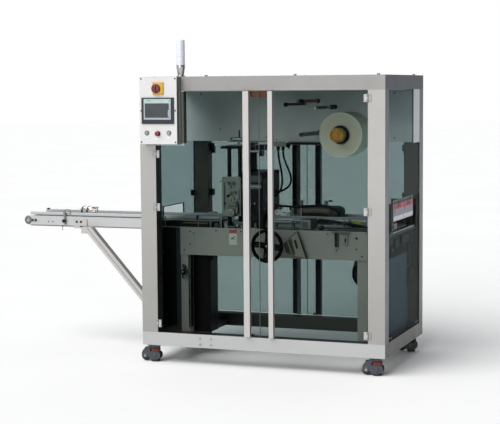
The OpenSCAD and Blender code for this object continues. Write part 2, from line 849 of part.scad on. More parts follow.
module film_chuck() {
  color([0.7, 0.45, 0.2]) at_frame() difference() {
    union() {
      rod_along_y(roll_x, roll_z, core_r, roll_y - 2, roll_y + roll_l);
      rod_along_y(roll_x, roll_z, core_r + 5, roll_y - 88, roll_y - 0.2);
    }
    rod_along_y(roll_x, roll_z, spindle_r + fit, roll_y - 70, roll_y + roll_l + 1);
  }
}

module film_guide_roller() {
  color([0.6, 0.35, 0.35]) at_frame() difference() {
    rod_along_y(guide_roller_x, guide_roller_z, guide_roller_r, 280, cabinet_y - 20);
    rod_along_y(guide_roller_x, guide_roller_z, guide_shaft_r + fit, 279, cabinet_y - 19);
  }
}

// Point of a Bezier curve, by repeated halving of its control polygon at t
function lerp_list(p, t) = [for (i = [0:len(p) - 2]) p[i] * (1 - t) + p[i + 1] * t];
function bezier(p, t) = len(p) == 1 ? p[0] : bezier(lerp_list(p, t), t);
function bezier_dir(p, t) = len(p) == 2 ? p[1] - p[0] : bezier_dir(lerp_list(p, t), t);

// One ring of the tube: its normals come from the tangent and the Y axis
function ring_side(d) = cross(d, [0, 1, 0.001]) / norm(cross(d, [0, 1, 0.001]));
function ring(p, t) =
  let (d = bezier_dir(p, t), u = ring_side(d / norm(d)), v = cross(d / norm(d), u))
  [for (k = [0:cable_sides - 1])
    bezier(p, t) + cable_r * (cos(360 * k / cable_sides) * u + sin(360 * k / cable_sides) * v)];

module tube_along(p) {
  points = [for (i = [0:cable_steps]) each ring(p, i / cable_steps)];
  sides = [for (i = [0:cable_steps - 1], k = [0:cable_sides - 1])
    let (n = (k + 1) % cable_sides)
    [i * cable_sides + k, (i + 1) * cable_sides + k, (i + 1) * cable_sides + n, i * cable_sides + n]];
  first = [for (k = [0:cable_sides - 1]) k];
  last = [for (k = [cable_sides - 1:-1:0]) cable_steps * cable_sides + k];
  polyhedron(points, concat(sides, [first, last]), convexity = 6);
}

module cables() {
  color([0.08, 0.08, 0.08]) at_frame() {
    tube_along(cable_left);
    tube_along(cable_right);
  }
}

// Levelling caster about its swivel axis, wheel trailing towards -X
module caster_housing() {
  top = caster_h;
  body_z = wheel_lift + 2 * wheel_radius + 3;
  axle_z = wheel_lift + wheel_radius;
  half = wheel_w / 2 + 1.5;
  cheek = 7;
  rod_along_z(0, 0, 32, body_z + 12, top);
  box([-caster_trail - 28, -half - cheek, body_z], [0, half + cheek, body_z + 20]);
  rod_along_z(0, 0, 28, body_z - 8, body_z + 13);
  for (side = [-1, 1]) {
    y = side < 0 ? -half - cheek : half;
    box([-caster_trail - 16, y, axle_z - 12], [20, y + cheek, body_z + 1]);
  }
  rod_along_y(-caster_trail, axle_z, axle_r, -half - 1, half + 1);
  rod_along_z(0, 0, 8, 6, body_z);
  rod_along_z(0, 0, thumb_r, 50, body_z + 1);
  rod_along_z(0, 0, pad_r, 0, 9);
  rod_along_z(0, 0, pad_r - 6, 8, 15);
}

module caster_wheel() {
  translate([-caster_trail, 0, wheel_lift + wheel_radius]) difference() {
    rod_along_y(0, 0, wheel_radius, -wheel_w / 2, wheel_w / 2);
    rod_along_y(0, 0, axle_r + fit, -wheel_w, wheel_w);
  }
}

// Corner 1 front left, 2 front right, 3 rear left, 4 rear right
module at_corner(n) {
  x = n % 2 == 1 ? caster_x : frame_w - caster_x;
  y = n < 3 ? caster_y : frame_d - caster_y;
  at_frame() translate([x, y, 0]) children();
}

base_frame();
corner_posts();
top_frame();
left_side_panel();
left_lower_panel();
right_side_panel();
rear_cabinet();
frame_fasteners();
hinge_bases();
control_box();
control_plate();
touch_screen();
switch_plate();
switch_knob();
e_stop_button();
start_button();
reset_button();
tower_light_base();
tower_light_lens();
left_door_panel();
left_door_fittings();
right_door_panel();
right_door_fittings();
rear_left_door_panel();
rear_left_door_fittings();
rear_right_door_panel();
rear_right_door_fittings();
bed_side_plates();
bed_legs();
bed_end_cover();
drive_cabinet();
height_posts();
conveyor_side_plates();
conveyor_belt();
nose_roller();
drive_roller();
conveyor_strut();
near_guide_rail();
far_guide_rail();
outfeed_table();
outfeed_guard();
handwheel();
chute_guard();
head_columns();
head_body();
seal_head();
overhead_unit();
film_shafts();
film_roll();
film_chuck();
film_guide_roller();
cables();
color("dimgray") at_corner(1) caster_housing();  // caster_housing_1
color("dimgray") at_corner(2) caster_housing();  // caster_housing_2
color("dimgray") at_corner(3) caster_housing();  // caster_housing_3
color("dimgray") at_corner(4) caster_housing();  // caster_housing_4
color("black") at_corner(1) caster_wheel();  // caster_wheel_1
color("black") at_corner(2) caster_wheel();  // caster_wheel_2
color("black") at_corner(3) caster_wheel();  // caster_wheel_3
color("black") at_corner(4) caster_wheel();  // caster_wheel_4
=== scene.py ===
import bpy, bmesh, json, math, random
from mathutils import Matrix, Vector


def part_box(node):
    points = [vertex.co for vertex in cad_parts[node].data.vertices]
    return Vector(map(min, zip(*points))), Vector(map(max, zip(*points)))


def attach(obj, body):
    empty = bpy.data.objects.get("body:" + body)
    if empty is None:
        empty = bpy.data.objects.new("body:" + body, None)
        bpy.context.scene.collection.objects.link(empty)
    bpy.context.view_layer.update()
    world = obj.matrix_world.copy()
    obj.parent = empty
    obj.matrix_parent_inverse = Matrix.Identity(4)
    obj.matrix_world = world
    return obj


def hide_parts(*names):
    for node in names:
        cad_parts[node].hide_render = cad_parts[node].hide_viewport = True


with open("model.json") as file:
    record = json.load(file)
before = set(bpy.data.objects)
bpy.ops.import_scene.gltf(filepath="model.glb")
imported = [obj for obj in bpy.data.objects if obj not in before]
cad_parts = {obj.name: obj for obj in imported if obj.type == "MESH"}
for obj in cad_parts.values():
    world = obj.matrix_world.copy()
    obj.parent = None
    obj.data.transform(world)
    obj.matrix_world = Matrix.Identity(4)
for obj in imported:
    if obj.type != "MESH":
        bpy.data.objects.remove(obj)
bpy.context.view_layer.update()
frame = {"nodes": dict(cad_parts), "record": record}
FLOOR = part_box("base_frame")[0]          # front left corner of the enclosure, the origin of the millimetre grid below
FW = (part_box("base_frame")[1].x - FLOOR.x) * 1000
FD = (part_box("base_frame")[1].y - FLOOR.y) * 1000


def P(x, y, z):
    """A point in metres from millimetres right of, behind and above the enclosure's front left foot."""
    return Vector((FLOOR.x + x / 1000, FLOOR.y + y / 1000, z / 1000))


LID_Z = 1706                             # top of the enclosure's lid
TOWER = (250, 40)                        # axis of the tower light
BELT_AXIS_Z = 798.5                      # height of both belt rollers
NOSE_X, DRIVE_X = -976.5, 330            # where the belt turns round its rollers
HEIGHT_POSTS = (770, 1000)               # posts of the press unit

# ---------------------------------------------------------------- camera, light and floor
scene = bpy.context.scene
scene.view_settings.view_transform = "Standard"
scene.cycles.transparent_max_bounces = 32
az, tilt, roll = (math.radians(a) for a in (20.517, 4.982, -0.417))
ahead = Vector((-math.sin(az) * math.cos(tilt), math.cos(az) * math.cos(tilt), -math.sin(tilt)))
right = Vector((math.cos(az), math.sin(az), 0))
up = right.cross(ahead)
right, up = right * math.cos(roll) + up * math.sin(roll), up * math.cos(roll) - right * math.sin(roll)
cam = bpy.data.objects.new("camera", bpy.data.cameras.new("camera"))
scene.collection.objects.link(cam)
cam.data.sensor_width, cam.data.lens = 36, 102.606
cam.data.clip_end = 200
cam.matrix_world = Matrix((
    (right.x, up.x, -ahead.x, 3.3269),
    (right.y, up.y, -ahead.y, -8.1109),
    (right.z, up.z, -ahead.z, 1.6378),
    (0, 0, 0, 1)))
scene.camera = cam


def sun(name, towards, strength, angle, colour=(1, 1, 1)):
    data = bpy.data.lights.new(name, "SUN")
    data.energy, data.angle, data.color = strength, math.radians(angle), colour
    lamp = bpy.data.objects.new(name, data)
    lamp.rotation_euler = Vector(towards).to_track_quat("-Z", "Y").to_euler()
    scene.collection.objects.link(lamp)


sun("key", (0.32, 0.62, -0.80), 2.35, 50, (1, 0.99, 0.97))
sun("front", (0.10, 1.0, -0.24), 1.15, 35)

world = bpy.data.worlds.new("studio")
scene.world = world
world.use_nodes = True
wn = world.node_tree.nodes
wn.clear()
w_out, w_mix, w_path = wn.new("ShaderNodeOutputWorld"), wn.new("ShaderNodeMixShader"), wn.new("ShaderNodeLightPath")
w_light, w_seen = wn.new("ShaderNodeBackground"), wn.new("ShaderNodeBackground")
w_light.inputs["Color"].default_value, w_light.inputs["Strength"].default_value = (0.95, 0.97, 1, 1), 0.5
w_seen.inputs["Color"].default_value, w_seen.inputs["Strength"].default_value = (1, 1, 1, 1), 1.0
w_way, w_xyz, w_dark = wn.new("ShaderNodeTexCoord"), wn.new("ShaderNodeSeparateXYZ"), wn.new("ShaderNodeMapRange")
for key, v in (("From Min", -0.1), ("From Max", 0.9), ("To Min", 0.56), ("To Max", 0.10)):
    w_dark.inputs[key].default_value = v
world.node_tree.links.new(w_way.outputs["Generated"], w_xyz.inputs[0])
world.node_tree.links.new(w_xyz.outputs["X"], w_dark.inputs["Value"])
world.node_tree.links.new(w_dark.outputs[0], w_light.inputs["Strength"])
world.node_tree.links.new(w_path.outputs["Is Camera Ray"], w_mix.inputs[0])
world.node_tree.links.new(w_light.outputs[0], w_mix.inputs[1])
world.node_tree.links.new(w_seen.outputs[0], w_mix.inputs[2])
world.node_tree.links.new(w_mix.outputs[0], w_out.inputs["Surface"])


# ---------------------------------------------------------------- materials
class Nodes:
    """A material's node tree with short calls."""

    def __init__(self, name):
        self.mat = bpy.data.materials.new(name)
        self.mat.use_nodes = True
        self.tree = self.mat.node_tree
        self.tree.nodes.clear()
        self.out = self.new("OutputMaterial")
        self.bsdf = self.new("BsdfPrincipled")
        self.tree.links.new(self.bsdf.outputs[0], self.out.inputs[0])
        self.coord = self.new("TexCoord").outputs["Object"]

    def new(self, kind):
        return self.tree.nodes.new("ShaderNode" + kind)

    def link(self, a, b):
        self.tree.links.new(a, b)

    def noise(self, scale, stretch=(1, 1, 1), detail=4, rough=0.55, coord=None):
        m = self.new("Mapping")
        m.inputs["Scale"].default_value = stretch
        self.link(coord or self.coord, m.inputs["Vector"])
        n = self.new("TexNoise")
        n.inputs["Scale"].default_value, n.inputs["Detail"].default_value = scale, detail
        n.inputs["Roughness"].default_value = rough
        self.link(m.outputs[0], n.inputs["Vector"])
        return n.outputs[0]

    def ramp(self, value, low, high, a=0.3, b=0.7):
        """value mapped from the stretch a to b onto low to high; low and high are numbers or colours."""
        if isinstance(low, (int, float)):
            r = self.new("MapRange")
            for key, v in (("From Min", a), ("From Max", b), ("To Min", low), ("To Max", high)):
                r.inputs[key].default_value = v
            self.link(value, r.inputs["Value"])
            return r.outputs[0]
        r = self.new("ValToRGB")
        r.color_ramp.elements[0].position, r.color_ramp.elements[1].position = a, b
        r.color_ramp.elements[0].color, r.color_ramp.elements[1].color = (*low, 1), (*high, 1)
        self.link(value, r.inputs[0])
        return r.outputs[0]

    def mix(self, factor, a, b, how="MIX"):
        m = self.new("Mix")
        m.data_type, m.blend_type = "RGBA", how
        for socket, v in ((m.inputs[0], factor), (m.inputs[6], a), (m.inputs[7], b)):
            if isinstance(v, bpy.types.NodeSocket):
                self.link(v, socket)
            elif isinstance(v, (int, float)):
                socket.default_value = v
            else:
                socket.default_value = (*v, 1)
        return m.outputs[2]

    def math(self, how, a, b=0.5):
        m = self.new("Math")
        m.operation = how
        for socket, v in ((m.inputs[0], a), (m.inputs[1], b)):
            if isinstance(v, bpy.types.NodeSocket):
                self.link(v, socket)
            else:
                socket.default_value = v
        return m.outputs[0]

    def edge(self, radius=0.002):
        """1 along sharp edges and 0 on the flats, from how far a rounded normal turns from the true one."""
        b = self.new("Bevel")
        b.samples, b.inputs["Radius"].default_value = 4, radius
        g = self.new("NewGeometry")
        d = self.new("VectorMath")
        d.operation = "DOT_PRODUCT"
        self.link(b.outputs[0], d.inputs[0])
        self.link(g.outputs["Normal"], d.inputs[1])
        return self.ramp(d.outputs["Value"], 1.0, 0.0, 0.8, 0.99), b.outputs[0]

    def bump(self, height, strength, distance, normal=None):
        b = self.new("Bump")
        b.inputs["Strength"].default_value, b.inputs["Distance"].default_value = strength, distance
        self.link(height, b.inputs["Height"])
        if normal is not None:
            self.link(normal, b.inputs["Normal"])
        return b.outputs[0]

    def set(self, **values):
        for key, v in values.items():
            socket = self.bsdf.inputs[key.replace("_", " ")]
            if isinstance(v, bpy.types.NodeSocket):
                self.link(v, socket)
            elif isinstance(v, (tuple, list)):
                socket.default_value = (*v, 1)
            else:
                socket.default_value = v
        return self.mat


def rgb(text):
    """A linear colour from a display colour such as "8A8F8C"."""
    def lin(c):
        return c / 12.92 if c <= 0.04045 else ((c + 0.055) / 1.055) ** 2.4
    return tuple(lin(int(text[i:i + 2], 16) / 255) for i in (0, 2, 4))


def shade(colour, k):
    return tuple(min(1, c * k) for c in colour)


def between(n, value, low, high):
    return n.math("MULTIPLY", n.math("GREATER_THAN", value, low), n.math("LESS_THAN", value, high))


def brushed(name, colour, grain, metallic=0.75, rough=0.36, streak=0.10, round_edge=0.0015, inner=None, height_shade=None,
            side=None):
    """Sheet metal with a brushed finish; grain is the noise stretch, small along the grain. inner is the colour of
    painted shade on the faces that look into the enclosure; tall paints shade, darkening the sheet's foot and head,
    and side is the colour of painted shade on the faces that point right."""
    n = Nodes(name)
    fine = n.noise(1.0, grain, detail=5, rough=0.6)
    broad = n.noise(2.2, (1, 1, 1), detail=3)
    smudge = n.noise(9.0, (1, 1, 1), detail=4, rough=0.7)
    edge, rounded = n.edge(round_edge)
    base = n.mix(fine, shade(colour, 1 - streak), shade(colour, 1 + streak))
    base = n.mix(n.ramp(broad, 0.0, 0.35), base, shade(colour, 0.88))
    base = n.mix(n.math("MULTIPLY", edge, 0.5), base, shade(colour, 1.25))
    place = n.new("SeparateXYZ")
    if inner or height_shade:
        n.link(n.coord, place.inputs[0])
    # painted reflection: the sheet is darker towards its foot and its head
    if height_shade:
        wave = n.math("ADD", place.outputs["Z"], n.ramp(broad, -0.12, 0.12))
        base = n.mix(n.ramp(wave, 0.0, 1.0, 0.15, 1.0), shade(colour, height_shade), base)
        base = n.mix(n.ramp(wave, 0.0, 1.0, 1.15, 1.75), base, shade(colour, (1 + height_shade) / 2))
    # painted shade: faces whose normal points right take the darker side colour
    if side:
        face = n.new("SeparateXYZ")
        n.link(n.new("NewGeometry").outputs["True Normal"], face.inputs[0])
        base = n.mix(n.ramp(face.outputs["X"], 0.0, 1.0, 0.5, 0.9), base, side)
    # painted shade: faces inside the enclosure's box take the dark inner colour
    if inner:
        low, high = P(2, 2, 0), P(FW - 2, FD - 2, 1704)
        inside_shade = n.math("MULTIPLY", between(n, place.outputs["X"], low.x, high.x),
                        between(n, place.outputs["Y"], low.y, high.y))
        inside_shade = n.math("MULTIPLY", inside_shade, n.math("LESS_THAN", place.outputs["Z"], high.z))
        base = n.mix(inside_shade, base, inner)
    r = n.math("ADD", n.ramp(fine, rough - 0.05, rough + 0.07), n.ramp(smudge, -0.04, 0.08))
    return n.set(Base_Color=base, Metallic=metallic, Roughness=r, Normal=n.bump(fine, 0.12, 0.0004, rounded))


def painted(name, colour, rough=0.5, orange_peel=0.12, wear=0.35, under=None, coat=0.0, metallic=0.0, dust=0.12,
            shine=0.5):
    """Paint or powder coat: faint orange peel, uneven colour, chipped and worn edges."""
    n = Nodes(name)
    peel = n.noise(420.0, detail=2)
    broad = n.noise(3.5, detail=4)
    patch = n.noise(28.0, detail=5, rough=0.65)
    edge, rounded = n.edge(0.0014)
    base = n.mix(n.ramp(broad, 0.0, 1.0), shade(colour, 1 - dust), shade(colour, 1 + dust))
    base = n.mix(n.ramp(patch, 0.0, 0.25, 0.5, 0.8), base, shade(colour, 0.8))
    worn = n.math("MULTIPLY", n.math("MULTIPLY", edge, n.ramp(patch, 0.0, 1.0, 0.35, 0.6)), wear)
    base = n.mix(worn, base, under or shade(colour, 1.6))
    r = n.ramp(patch, rough - 0.06, rough + 0.08)
    return n.set(Base_Color=base, Roughness=r, Metallic=metallic, Coat_Weight=coat, Coat_Roughness=0.15,
                 Specular_IOR_Level=shine, Normal=n.bump(peel, orange_peel, 0.0002, rounded))


def plastic(name, colour, rough=0.38, grain=0.1, coat=0.0, spread=0.08, shine=0.5):
    n = Nodes(name)
    tex = n.noise(1400.0, detail=2)
    broad = n.noise(14.0, detail=4)
    edge, rounded = n.edge(0.0008)
    base = n.mix(n.ramp(broad, 0.0, 1.0), shade(colour, 1 - spread), shade(colour, 1 + spread))
    base = n.mix(n.math("MULTIPLY", edge, 0.25), base, shade(colour, 1.3))
    return n.set(Base_Color=base, Roughness=n.ramp(broad, rough - 0.06, rough + 0.06), Coat_Weight=coat,
                 Specular_IOR_Level=shine, Normal=n.bump(tex, grain, 0.00015, rounded))


def machined(name, colour, rough=0.28, metallic=0.95, scale=260.0):
    """Turned or milled metal with fine tool marks and a few darker stains."""
    n = Nodes(name)
    marks = n.noise(1.0, (scale, scale, scale * 2.5), detail=3)
    stain = n.noise(20.0, detail=5, rough=0.7)
    edge, rounded = n.edge(0.0008)
    base = n.mix(n.ramp(stain, 0.0, 0.6, 0.45, 0.75), colour, shade(colour, 0.7))
    base = n.mix(n.math("MULTIPLY", edge, 0.4), base, shade(colour, 1.3))
    r = n.math("ADD", n.ramp(marks, rough - 0.06, rough + 0.08), n.ramp(stain, 0.0, 0.1))
    return n.set(Base_Color=base, Metallic=metallic, Roughness=r, Normal=n.bump(marks, 0.08, 0.0002, rounded))


def tinted(name, per_face, clear=0.9, ior=1.05):
    """Smoke tinted acrylic: tinted light goes through, and its outer faces mirror a little, with faint smears.

    ior stays low because a stronger mirror at low angles renders as speckle."""
    n = Nodes(name)
    see = n.new("BsdfTransparent")
    broad = n.noise(1.6, (1, 1, 0.5), detail=3)
    n.link(n.mix(n.ramp(broad, 0.0, 1.0), shade(per_face, 0.985), shade(per_face, 1.015)), see.inputs["Color"])
    shadow = n.new("BsdfTransparent")
    shadow.inputs["Color"].default_value = (clear, clear, clear, 1)
    smear = n.noise(6.0, (1, 1, 0.4), detail=6, rough=0.7)
    fres = n.new("Fresnel")
    fres.inputs["IOR"].default_value = ior
    side = n.new("NewGeometry").outputs["Backfacing"]
    gloss = n.math("MULTIPLY", fres.outputs[0], n.math("SUBTRACT", 1.0, side))
    body = n.new("MixShader")
    n.link(gloss, body.inputs[0])
    n.link(see.outputs[0], body.inputs[1])
    n.link(n.bsdf.outputs[0], body.inputs[2])
    path = n.new("LightPath")
    m = n.new("MixShader")
    n.link(path.outputs["Is Shadow Ray"], m.inputs[0])
    n.link(body.outputs[0], m.inputs[1])
    n.link(shadow.outputs[0], m.inputs[2])
    n.link(m.outputs[0], n.out.inputs[0])
    return n.set(Base_Color=(0.5, 0.55, 0.55), Metallic=1.0, Roughness=n.ramp(smear, 0.03, 0.10))


def woven(name, colour, pitch):
    """A belt's fabric face: crossed threads, scuffs along its length."""
    n = Nodes(name)
    waves = []
    for axis in ("X", "Y"):
        w = n.new("TexWave")
        w.wave_type, w.bands_direction = "BANDS", axis
        w.inputs["Scale"].default_value = 0.314 / pitch / 6.283
        w.inputs["Distortion"].default_value = 0.4
        n.link(n.coord, w.inputs["Vector"])
        waves.append(w.outputs["Fac"])
    weave = n.math("MULTIPLY", waves[0], waves[1])
    scuff = n.noise(3.0, (0.6, 14, 1), detail=5, rough=0.65)
    base = n.mix(weave, shade(colour, 0.85), shade(colour, 1.2))
    base = n.mix(n.ramp(scuff, 0.0, 0.6, 0.45, 0.75), base, shade(colour, 1.7))
    return n.set(Base_Color=base, Roughness=n.ramp(scuff, 0.72, 0.55), Normal=n.bump(weave, 0.3, 0.0004))


def clear(name, colour, through):
    """Clear plastic that lets light straight through in faint upright stripes and scatters the rest in its wall."""
    n = Nodes(name)
    see = n.new("BsdfTransparent")
    see.inputs["Color"].default_value = (*shade(colour, 1.1), 1)
    stripe = n.noise(60.0, (1, 1, 0.002), detail=0)
    m = n.new("MixShader")
    n.link(n.ramp(stripe, 1 - through - 0.06, 1 - through + 0.06), m.inputs[0])
    n.link(see.outputs[0], m.inputs[1])
    n.link(n.bsdf.outputs[0], m.inputs[2])
    n.link(m.outputs[0], n.out.inputs[0])
    return n.set(Base_Color=colour, Roughness=0.2, Coat_Weight=0.3)


def wound(name, colour):
    """Film on a roll: fine layer rings on the ends, a satin wrap on the outside."""
    n = Nodes(name)
    split = n.new("SeparateXYZ")
    n.link(n.coord, split.inputs[0])
    low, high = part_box("film_roll")
    dx = n.math("SUBTRACT", split.outputs["X"], (low.x + high.x) / 2)
    dz = n.math("SUBTRACT", split.outputs["Z"], (low.z + high.z) / 2)
    r = n.math("SQRT", n.math("ADD", n.math("MULTIPLY", dx, dx), n.math("MULTIPLY", dz, dz)))
    ring = n.new("TexNoise")
    ring.noise_dimensions = "1D"
    ring.inputs["Scale"].default_value, ring.inputs["Detail"].default_value = 260, 5
    n.link(r, ring.inputs["W"])
    rings = ring.outputs[0]
    base = n.mix(n.ramp(rings, 0.0, 1.0, 0.3, 0.7), shade(colour, 0.72), shade(colour, 1.12))
    base = n.mix(n.ramp(r, 0.0, 0.75, 0.120, 0.134), base, shade(colour, 1.35))
    return n.set(Base_Color=base, Roughness=n.ramp(rings, 0.28, 0.5), Coat_Weight=0.3,
                 Normal=n.bump(rings, 0.4, 0.0005))


def plate_plastic(name, colour, spread=0.06):
    """A plain plate or sticker without print."""
    return plastic(name, rgb(colour), 0.45, grain=0.05, spread=spread)


M = {
    # in steel_v, steel_h and steel_low, inner, tall and side are painted shade: dark faces inside the enclosure, a
    # darker foot and head, darker right-facing faces
    "steel_v": brushed("brushed_steel_vertical", rgb("9A9996"), (520, 520, 3), metallic=0.5, inner=rgb("3E3E39"),
                       height_shade=0.84, side=rgb("646B72")),
    "steel_h": brushed("brushed_steel_level", rgb("8A8987"), (4, 4, 620), metallic=0.45, rough=0.48,
                       inner=rgb("3E3E39"), side=rgb("5E6368")),
    "tinted": tinted("tinted_acrylic", (0.63, 0.685, 0.68)),
    "dark_sheet": painted("dark_sheet_steel", rgb("1C1E1E"), 0.55, orange_peel=0.05, shine=0.15),
    "cabinet": painted("cabinet_paint", rgb("F3F0EE"), 0.5),
    "bed": painted("bed_paint", rgb("9C968F"), 0.42, under=rgb("C8C0B4"), shine=0.35),
    "end_cover": painted("end_cover_paint", rgb("4E6A80"), 0.35, under=rgb("8A9CA8")),
    "panel": painted("panel_paint", rgb("C4C4C4"), 0.4, wear=0.1, dust=0.03),
    "profile": brushed("anodised_profile", rgb("ACAAA8"), (420, 420, 3), metallic=0.35, rough=0.42, streak=0.05),
    "conveyor": brushed("conveyor_aluminium", rgb("AFB0B0"), (4, 300, 500), metallic=0.45, rough=0.38, streak=0.06),
    "bright": machined("bright_metal", rgb("B9BABB"), 0.26),
    "steel": machined("machined_steel", rgb("A4A6A6"), 0.3),
    "steel_dim": machined("dull_steel", rgb("7C7E7C"), 0.38, metallic=0.8),
    "machined_dark": machined("dark_machined_steel", rgb("55595A"), 0.36, metallic=0.7),
    "dark_metal": machined("blackened_steel", rgb("1E2022"), 0.38, metallic=0.5),
    "brass_dull": machined("olive_chromate_steel", rgb("8F8D7E"), 0.4, metallic=0.35),
    "olive_plate": painted("plate_olive_grey", rgb("94968F"), 0.42, under=rgb("9A9A90"), shine=0.3),
    "olive_dark": painted("block_olive_dark", rgb("2A2B26"), 0.45, shine=0.2),
    "olive_cover": painted("cover_olive_brown", rgb("54483F"), 0.36, under=rgb("8C8074"), shine=0.4),
    "bezel": plastic("screen_bezel_plastic", rgb("26282C"), 0.4, shine=0.3),
    "screen_pale": plastic("screen_frame_tint", rgb("949EA8"), 0.25, grain=0.0, coat=0.2, spread=0.04),
    "screen_dark": plastic("screen_field", rgb("34383B"), 0.22, grain=0.0, coat=0.1, spread=0.05),
    "screen_grey": plastic("screen_tile", rgb("70767E"), 0.24, grain=0.0, coat=0.4, spread=0.06),
    "screen_teal": plastic("screen_title", rgb("7FA39A"), 0.24, grain=0.0, coat=0.4, spread=0.06),
    "yellow": plastic("yellow_plastic", rgb("C99A1E"), 0.35, coat=0.2),
    "red": plastic("red_plastic", rgb("6E1018"), 0.3, coat=0.2),
    "red_dark": plastic("red_plastic_dark", rgb("4E120C"), 0.36, coat=0.1),
    "button_green": plastic("button_cap_green", rgb("868E84"), 0.3, coat=0.3),
    "button_white": plastic("button_cap_white", rgb("9A9C9E"), 0.3, coat=0.3),
    "dark_plastic": plastic("dark_plastic", rgb("1C1D1F"), 0.42, shine=0.25),
    "gasket": plastic("edge_gasket", rgb("37393A"), 0.6, grain=0.3),
    "interlock": plastic("interlock_orange_brown", rgb("96583C"), 0.45),
    "label_white": plate_plastic("label_white", "DADBE2", 0.05),
    "label_pale": plate_plastic("label_pale", "AEB0AE", 0.05),
    "label_grey": plate_plastic("label_grey", "8A8896", 0.10),
    "label_dark": plate_plastic("label_dark", "3B3D3E"),
    "label_red": plate_plastic("label_red", "B8304C"),
    "strip_yellow": plastic("outlet_strip_yellow", rgb("8E8424"), 0.45, spread=0.1),
    "black": painted("black_paint", rgb("0D0E0F"), 0.36, coat=0.05, under=rgb("3C3E40"), shine=0.18),
    "wheel": plastic("handwheel_phenolic", rgb("060607"), 0.34, grain=0.04, shine=0.15),
    "chute_paint": painted("chute_olive_paint", rgb("948C7C"), 0.42, under=rgb("C8C0B4"), shine=0.35),
    "rubber": plastic("belt_rubber", rgb("3A3E3D"), 0.7, grain=0.4),
    "belt": woven("belt_fabric", rgb("3F4443"), 0.0022),
    "guide": brushed("guide_metal", rgb("A9ABAD"), (3, 300, 600), metallic=0.5, rough=0.35, streak=0.07),
    "chuck": machined("chuck_finish", rgb("E09A38"), 0.42, metallic=0.2),
    "chuck_dark": machined("chuck_spring", rgb("4A3524"), 0.4, metallic=0.35),
    "roller_red": plastic("roller_red", rgb("B06A66"), 0.45),
    "cable": plastic("cable_jacket", rgb("0C0C0E"), 0.45, shine=0.2),
    "caster": painted("caster_metal", rgb("363B42"), 0.36, coat=0.1, under=rgb("7A7D80"), shine=0.35),
    "tread": plastic("caster_tread", rgb("1E1F21"), 0.6, grain=0.3),
    "lens": clear("lens_plastic", rgb("DCE0EE"), 0.08),
    "lamp_grey": plastic("lamp_inside", rgb("C4C4CA"), 0.4, grain=0.0, spread=0.02),
    "film": wound("film_layers", rgb("F2E6CC")),
    "box_dark": painted("control_box_paint", rgb("666862"), 0.4, under=rgb("8A8A80"), shine=0.4),
    "bed_end_dark": painted("bed_end_brown_black", rgb("0B0A08"), 0.5, shine=0.06),
    "brass_pale": machined("pale_chromate_steel", rgb("A3A194"), 0.38, metallic=0.35),
    "arm_white": painted("casting_pale", rgb("E2E0D8"), 0.4, under=rgb("FFFFFF")),
    "screen_title": plastic("screen_title_strip", rgb("A2B2AE"), 0.25, grain=0.0, coat=0.2, spread=0.04),
    "dial_red": plastic("levelling_dial_red", rgb("5E1E1A"), 0.4),
    "label_bed": plate_plastic("bed_label_grey", "CFCBC6", 0.08),
    "label_bed_red": plate_plastic("bed_label_red", "A84840", 0.08),
    "screw_dim": machined("screw_heads", rgb("8C8C8A"), 0.34, metallic=0.7),
    "chuck_side": machined("chuck_side", rgb("C8B48A"), 0.42, metallic=0.3),
    "cover_brown": painted("cover_brown_sheen", rgb("5A4A38"), 0.3),
    "flank_blue": painted("flank_blue_black", rgb("2E3436"), 0.4, shine=0.2),
    "cabinet_dark": painted("gearbox_dark", rgb("2A2E2E"), 0.45, shine=0.2),
    "motor_black": painted("motor_black", rgb("202224"), 0.3, coat=0.2, shine=0.4),
    # painted highlight on the press guard
    "guard_painted_highlight": painted("guard_highlight", rgb("7E7262"), 0.35),
    "label_maroon": plate_plastic("label_maroon", "5A0820"),
    "film_core": plastic("film_core_card", rgb("8C8468"), 0.6),
    "bar_slate": plastic("bar_slate", rgb("2E2C34"), 0.35, coat=0.2),
    "bar_green": plastic("bar_green_black", rgb("3C5048"), 0.35, coat=0.2),
    # painted shadow on the chute guard's left part
    "chute_shadow": painted("chute_painted_shadow", rgb("4C483E"), 0.5, shine=0.2),
    "hinge_steel": machined("hinge_cast_steel", rgb("8E8F90"), 0.36, metallic=0.5),
    "exit_edge": brushed("exit_plate_edge", rgb("B4B6B8"), (3, 300, 600), metallic=0.4, rough=0.35),
    "cabinet_black": painted("cabinet_black", rgb("141010"), 0.5, orange_peel=0.04, shine=0.1),
    # inner and side here are painted shade, as in steel_v and steel_h
    "steel_low": brushed("brushed_steel_base", rgb("A6A7A7"), (4, 4, 620), metallic=0.4, inner=rgb("3E3E39"),
                         side=rgb("62625F")),
    "tinted_side": tinted("tinted_acrylic_side", (0.60, 0.665, 0.675)),
    "table_grey": painted("outfeed_table_grey", rgb("8A908E"), 0.45, shine=0.3),
    "rear_strip": painted("rear_strip_grey", rgb("70726E"), 0.4),
    # a lighter copy of the brushed steel: painted light on the right flank of the electrical cabinet
    "flank_steel_painted_light": brushed("flank_steel_painted_light", rgb("CDD0D4"), (520, 520, 3), metallic=0.3),
}
SLOT_OF = {
    "brushed_panel": "steel_h", "tinted_panel": "tinted", "dark_sheet": "dark_sheet", "bed_paint": "bed",
    "cabinet_paint": "cabinet", "panel_paint": "panel", "anodised_profile": "profile",
    "conveyor_aluminium": "conveyor", "bright_metal": "bright", "machined_steel": "steel",
    "screen_bezel": "bezel", "yellow_plastic": "yellow", "red_plastic": "red", "dark_plastic": "dark_plastic",
    "lens_plastic": "lens", "black_paint": "black", "belt_rubber": "rubber", "guide_metal": "guide",
    "film": "film", "chuck_finish": "chuck", "roller_red": "roller_red", "cable_jacket": "cable",
    "caster_metal": "caster", "caster_tread": "tread",
}
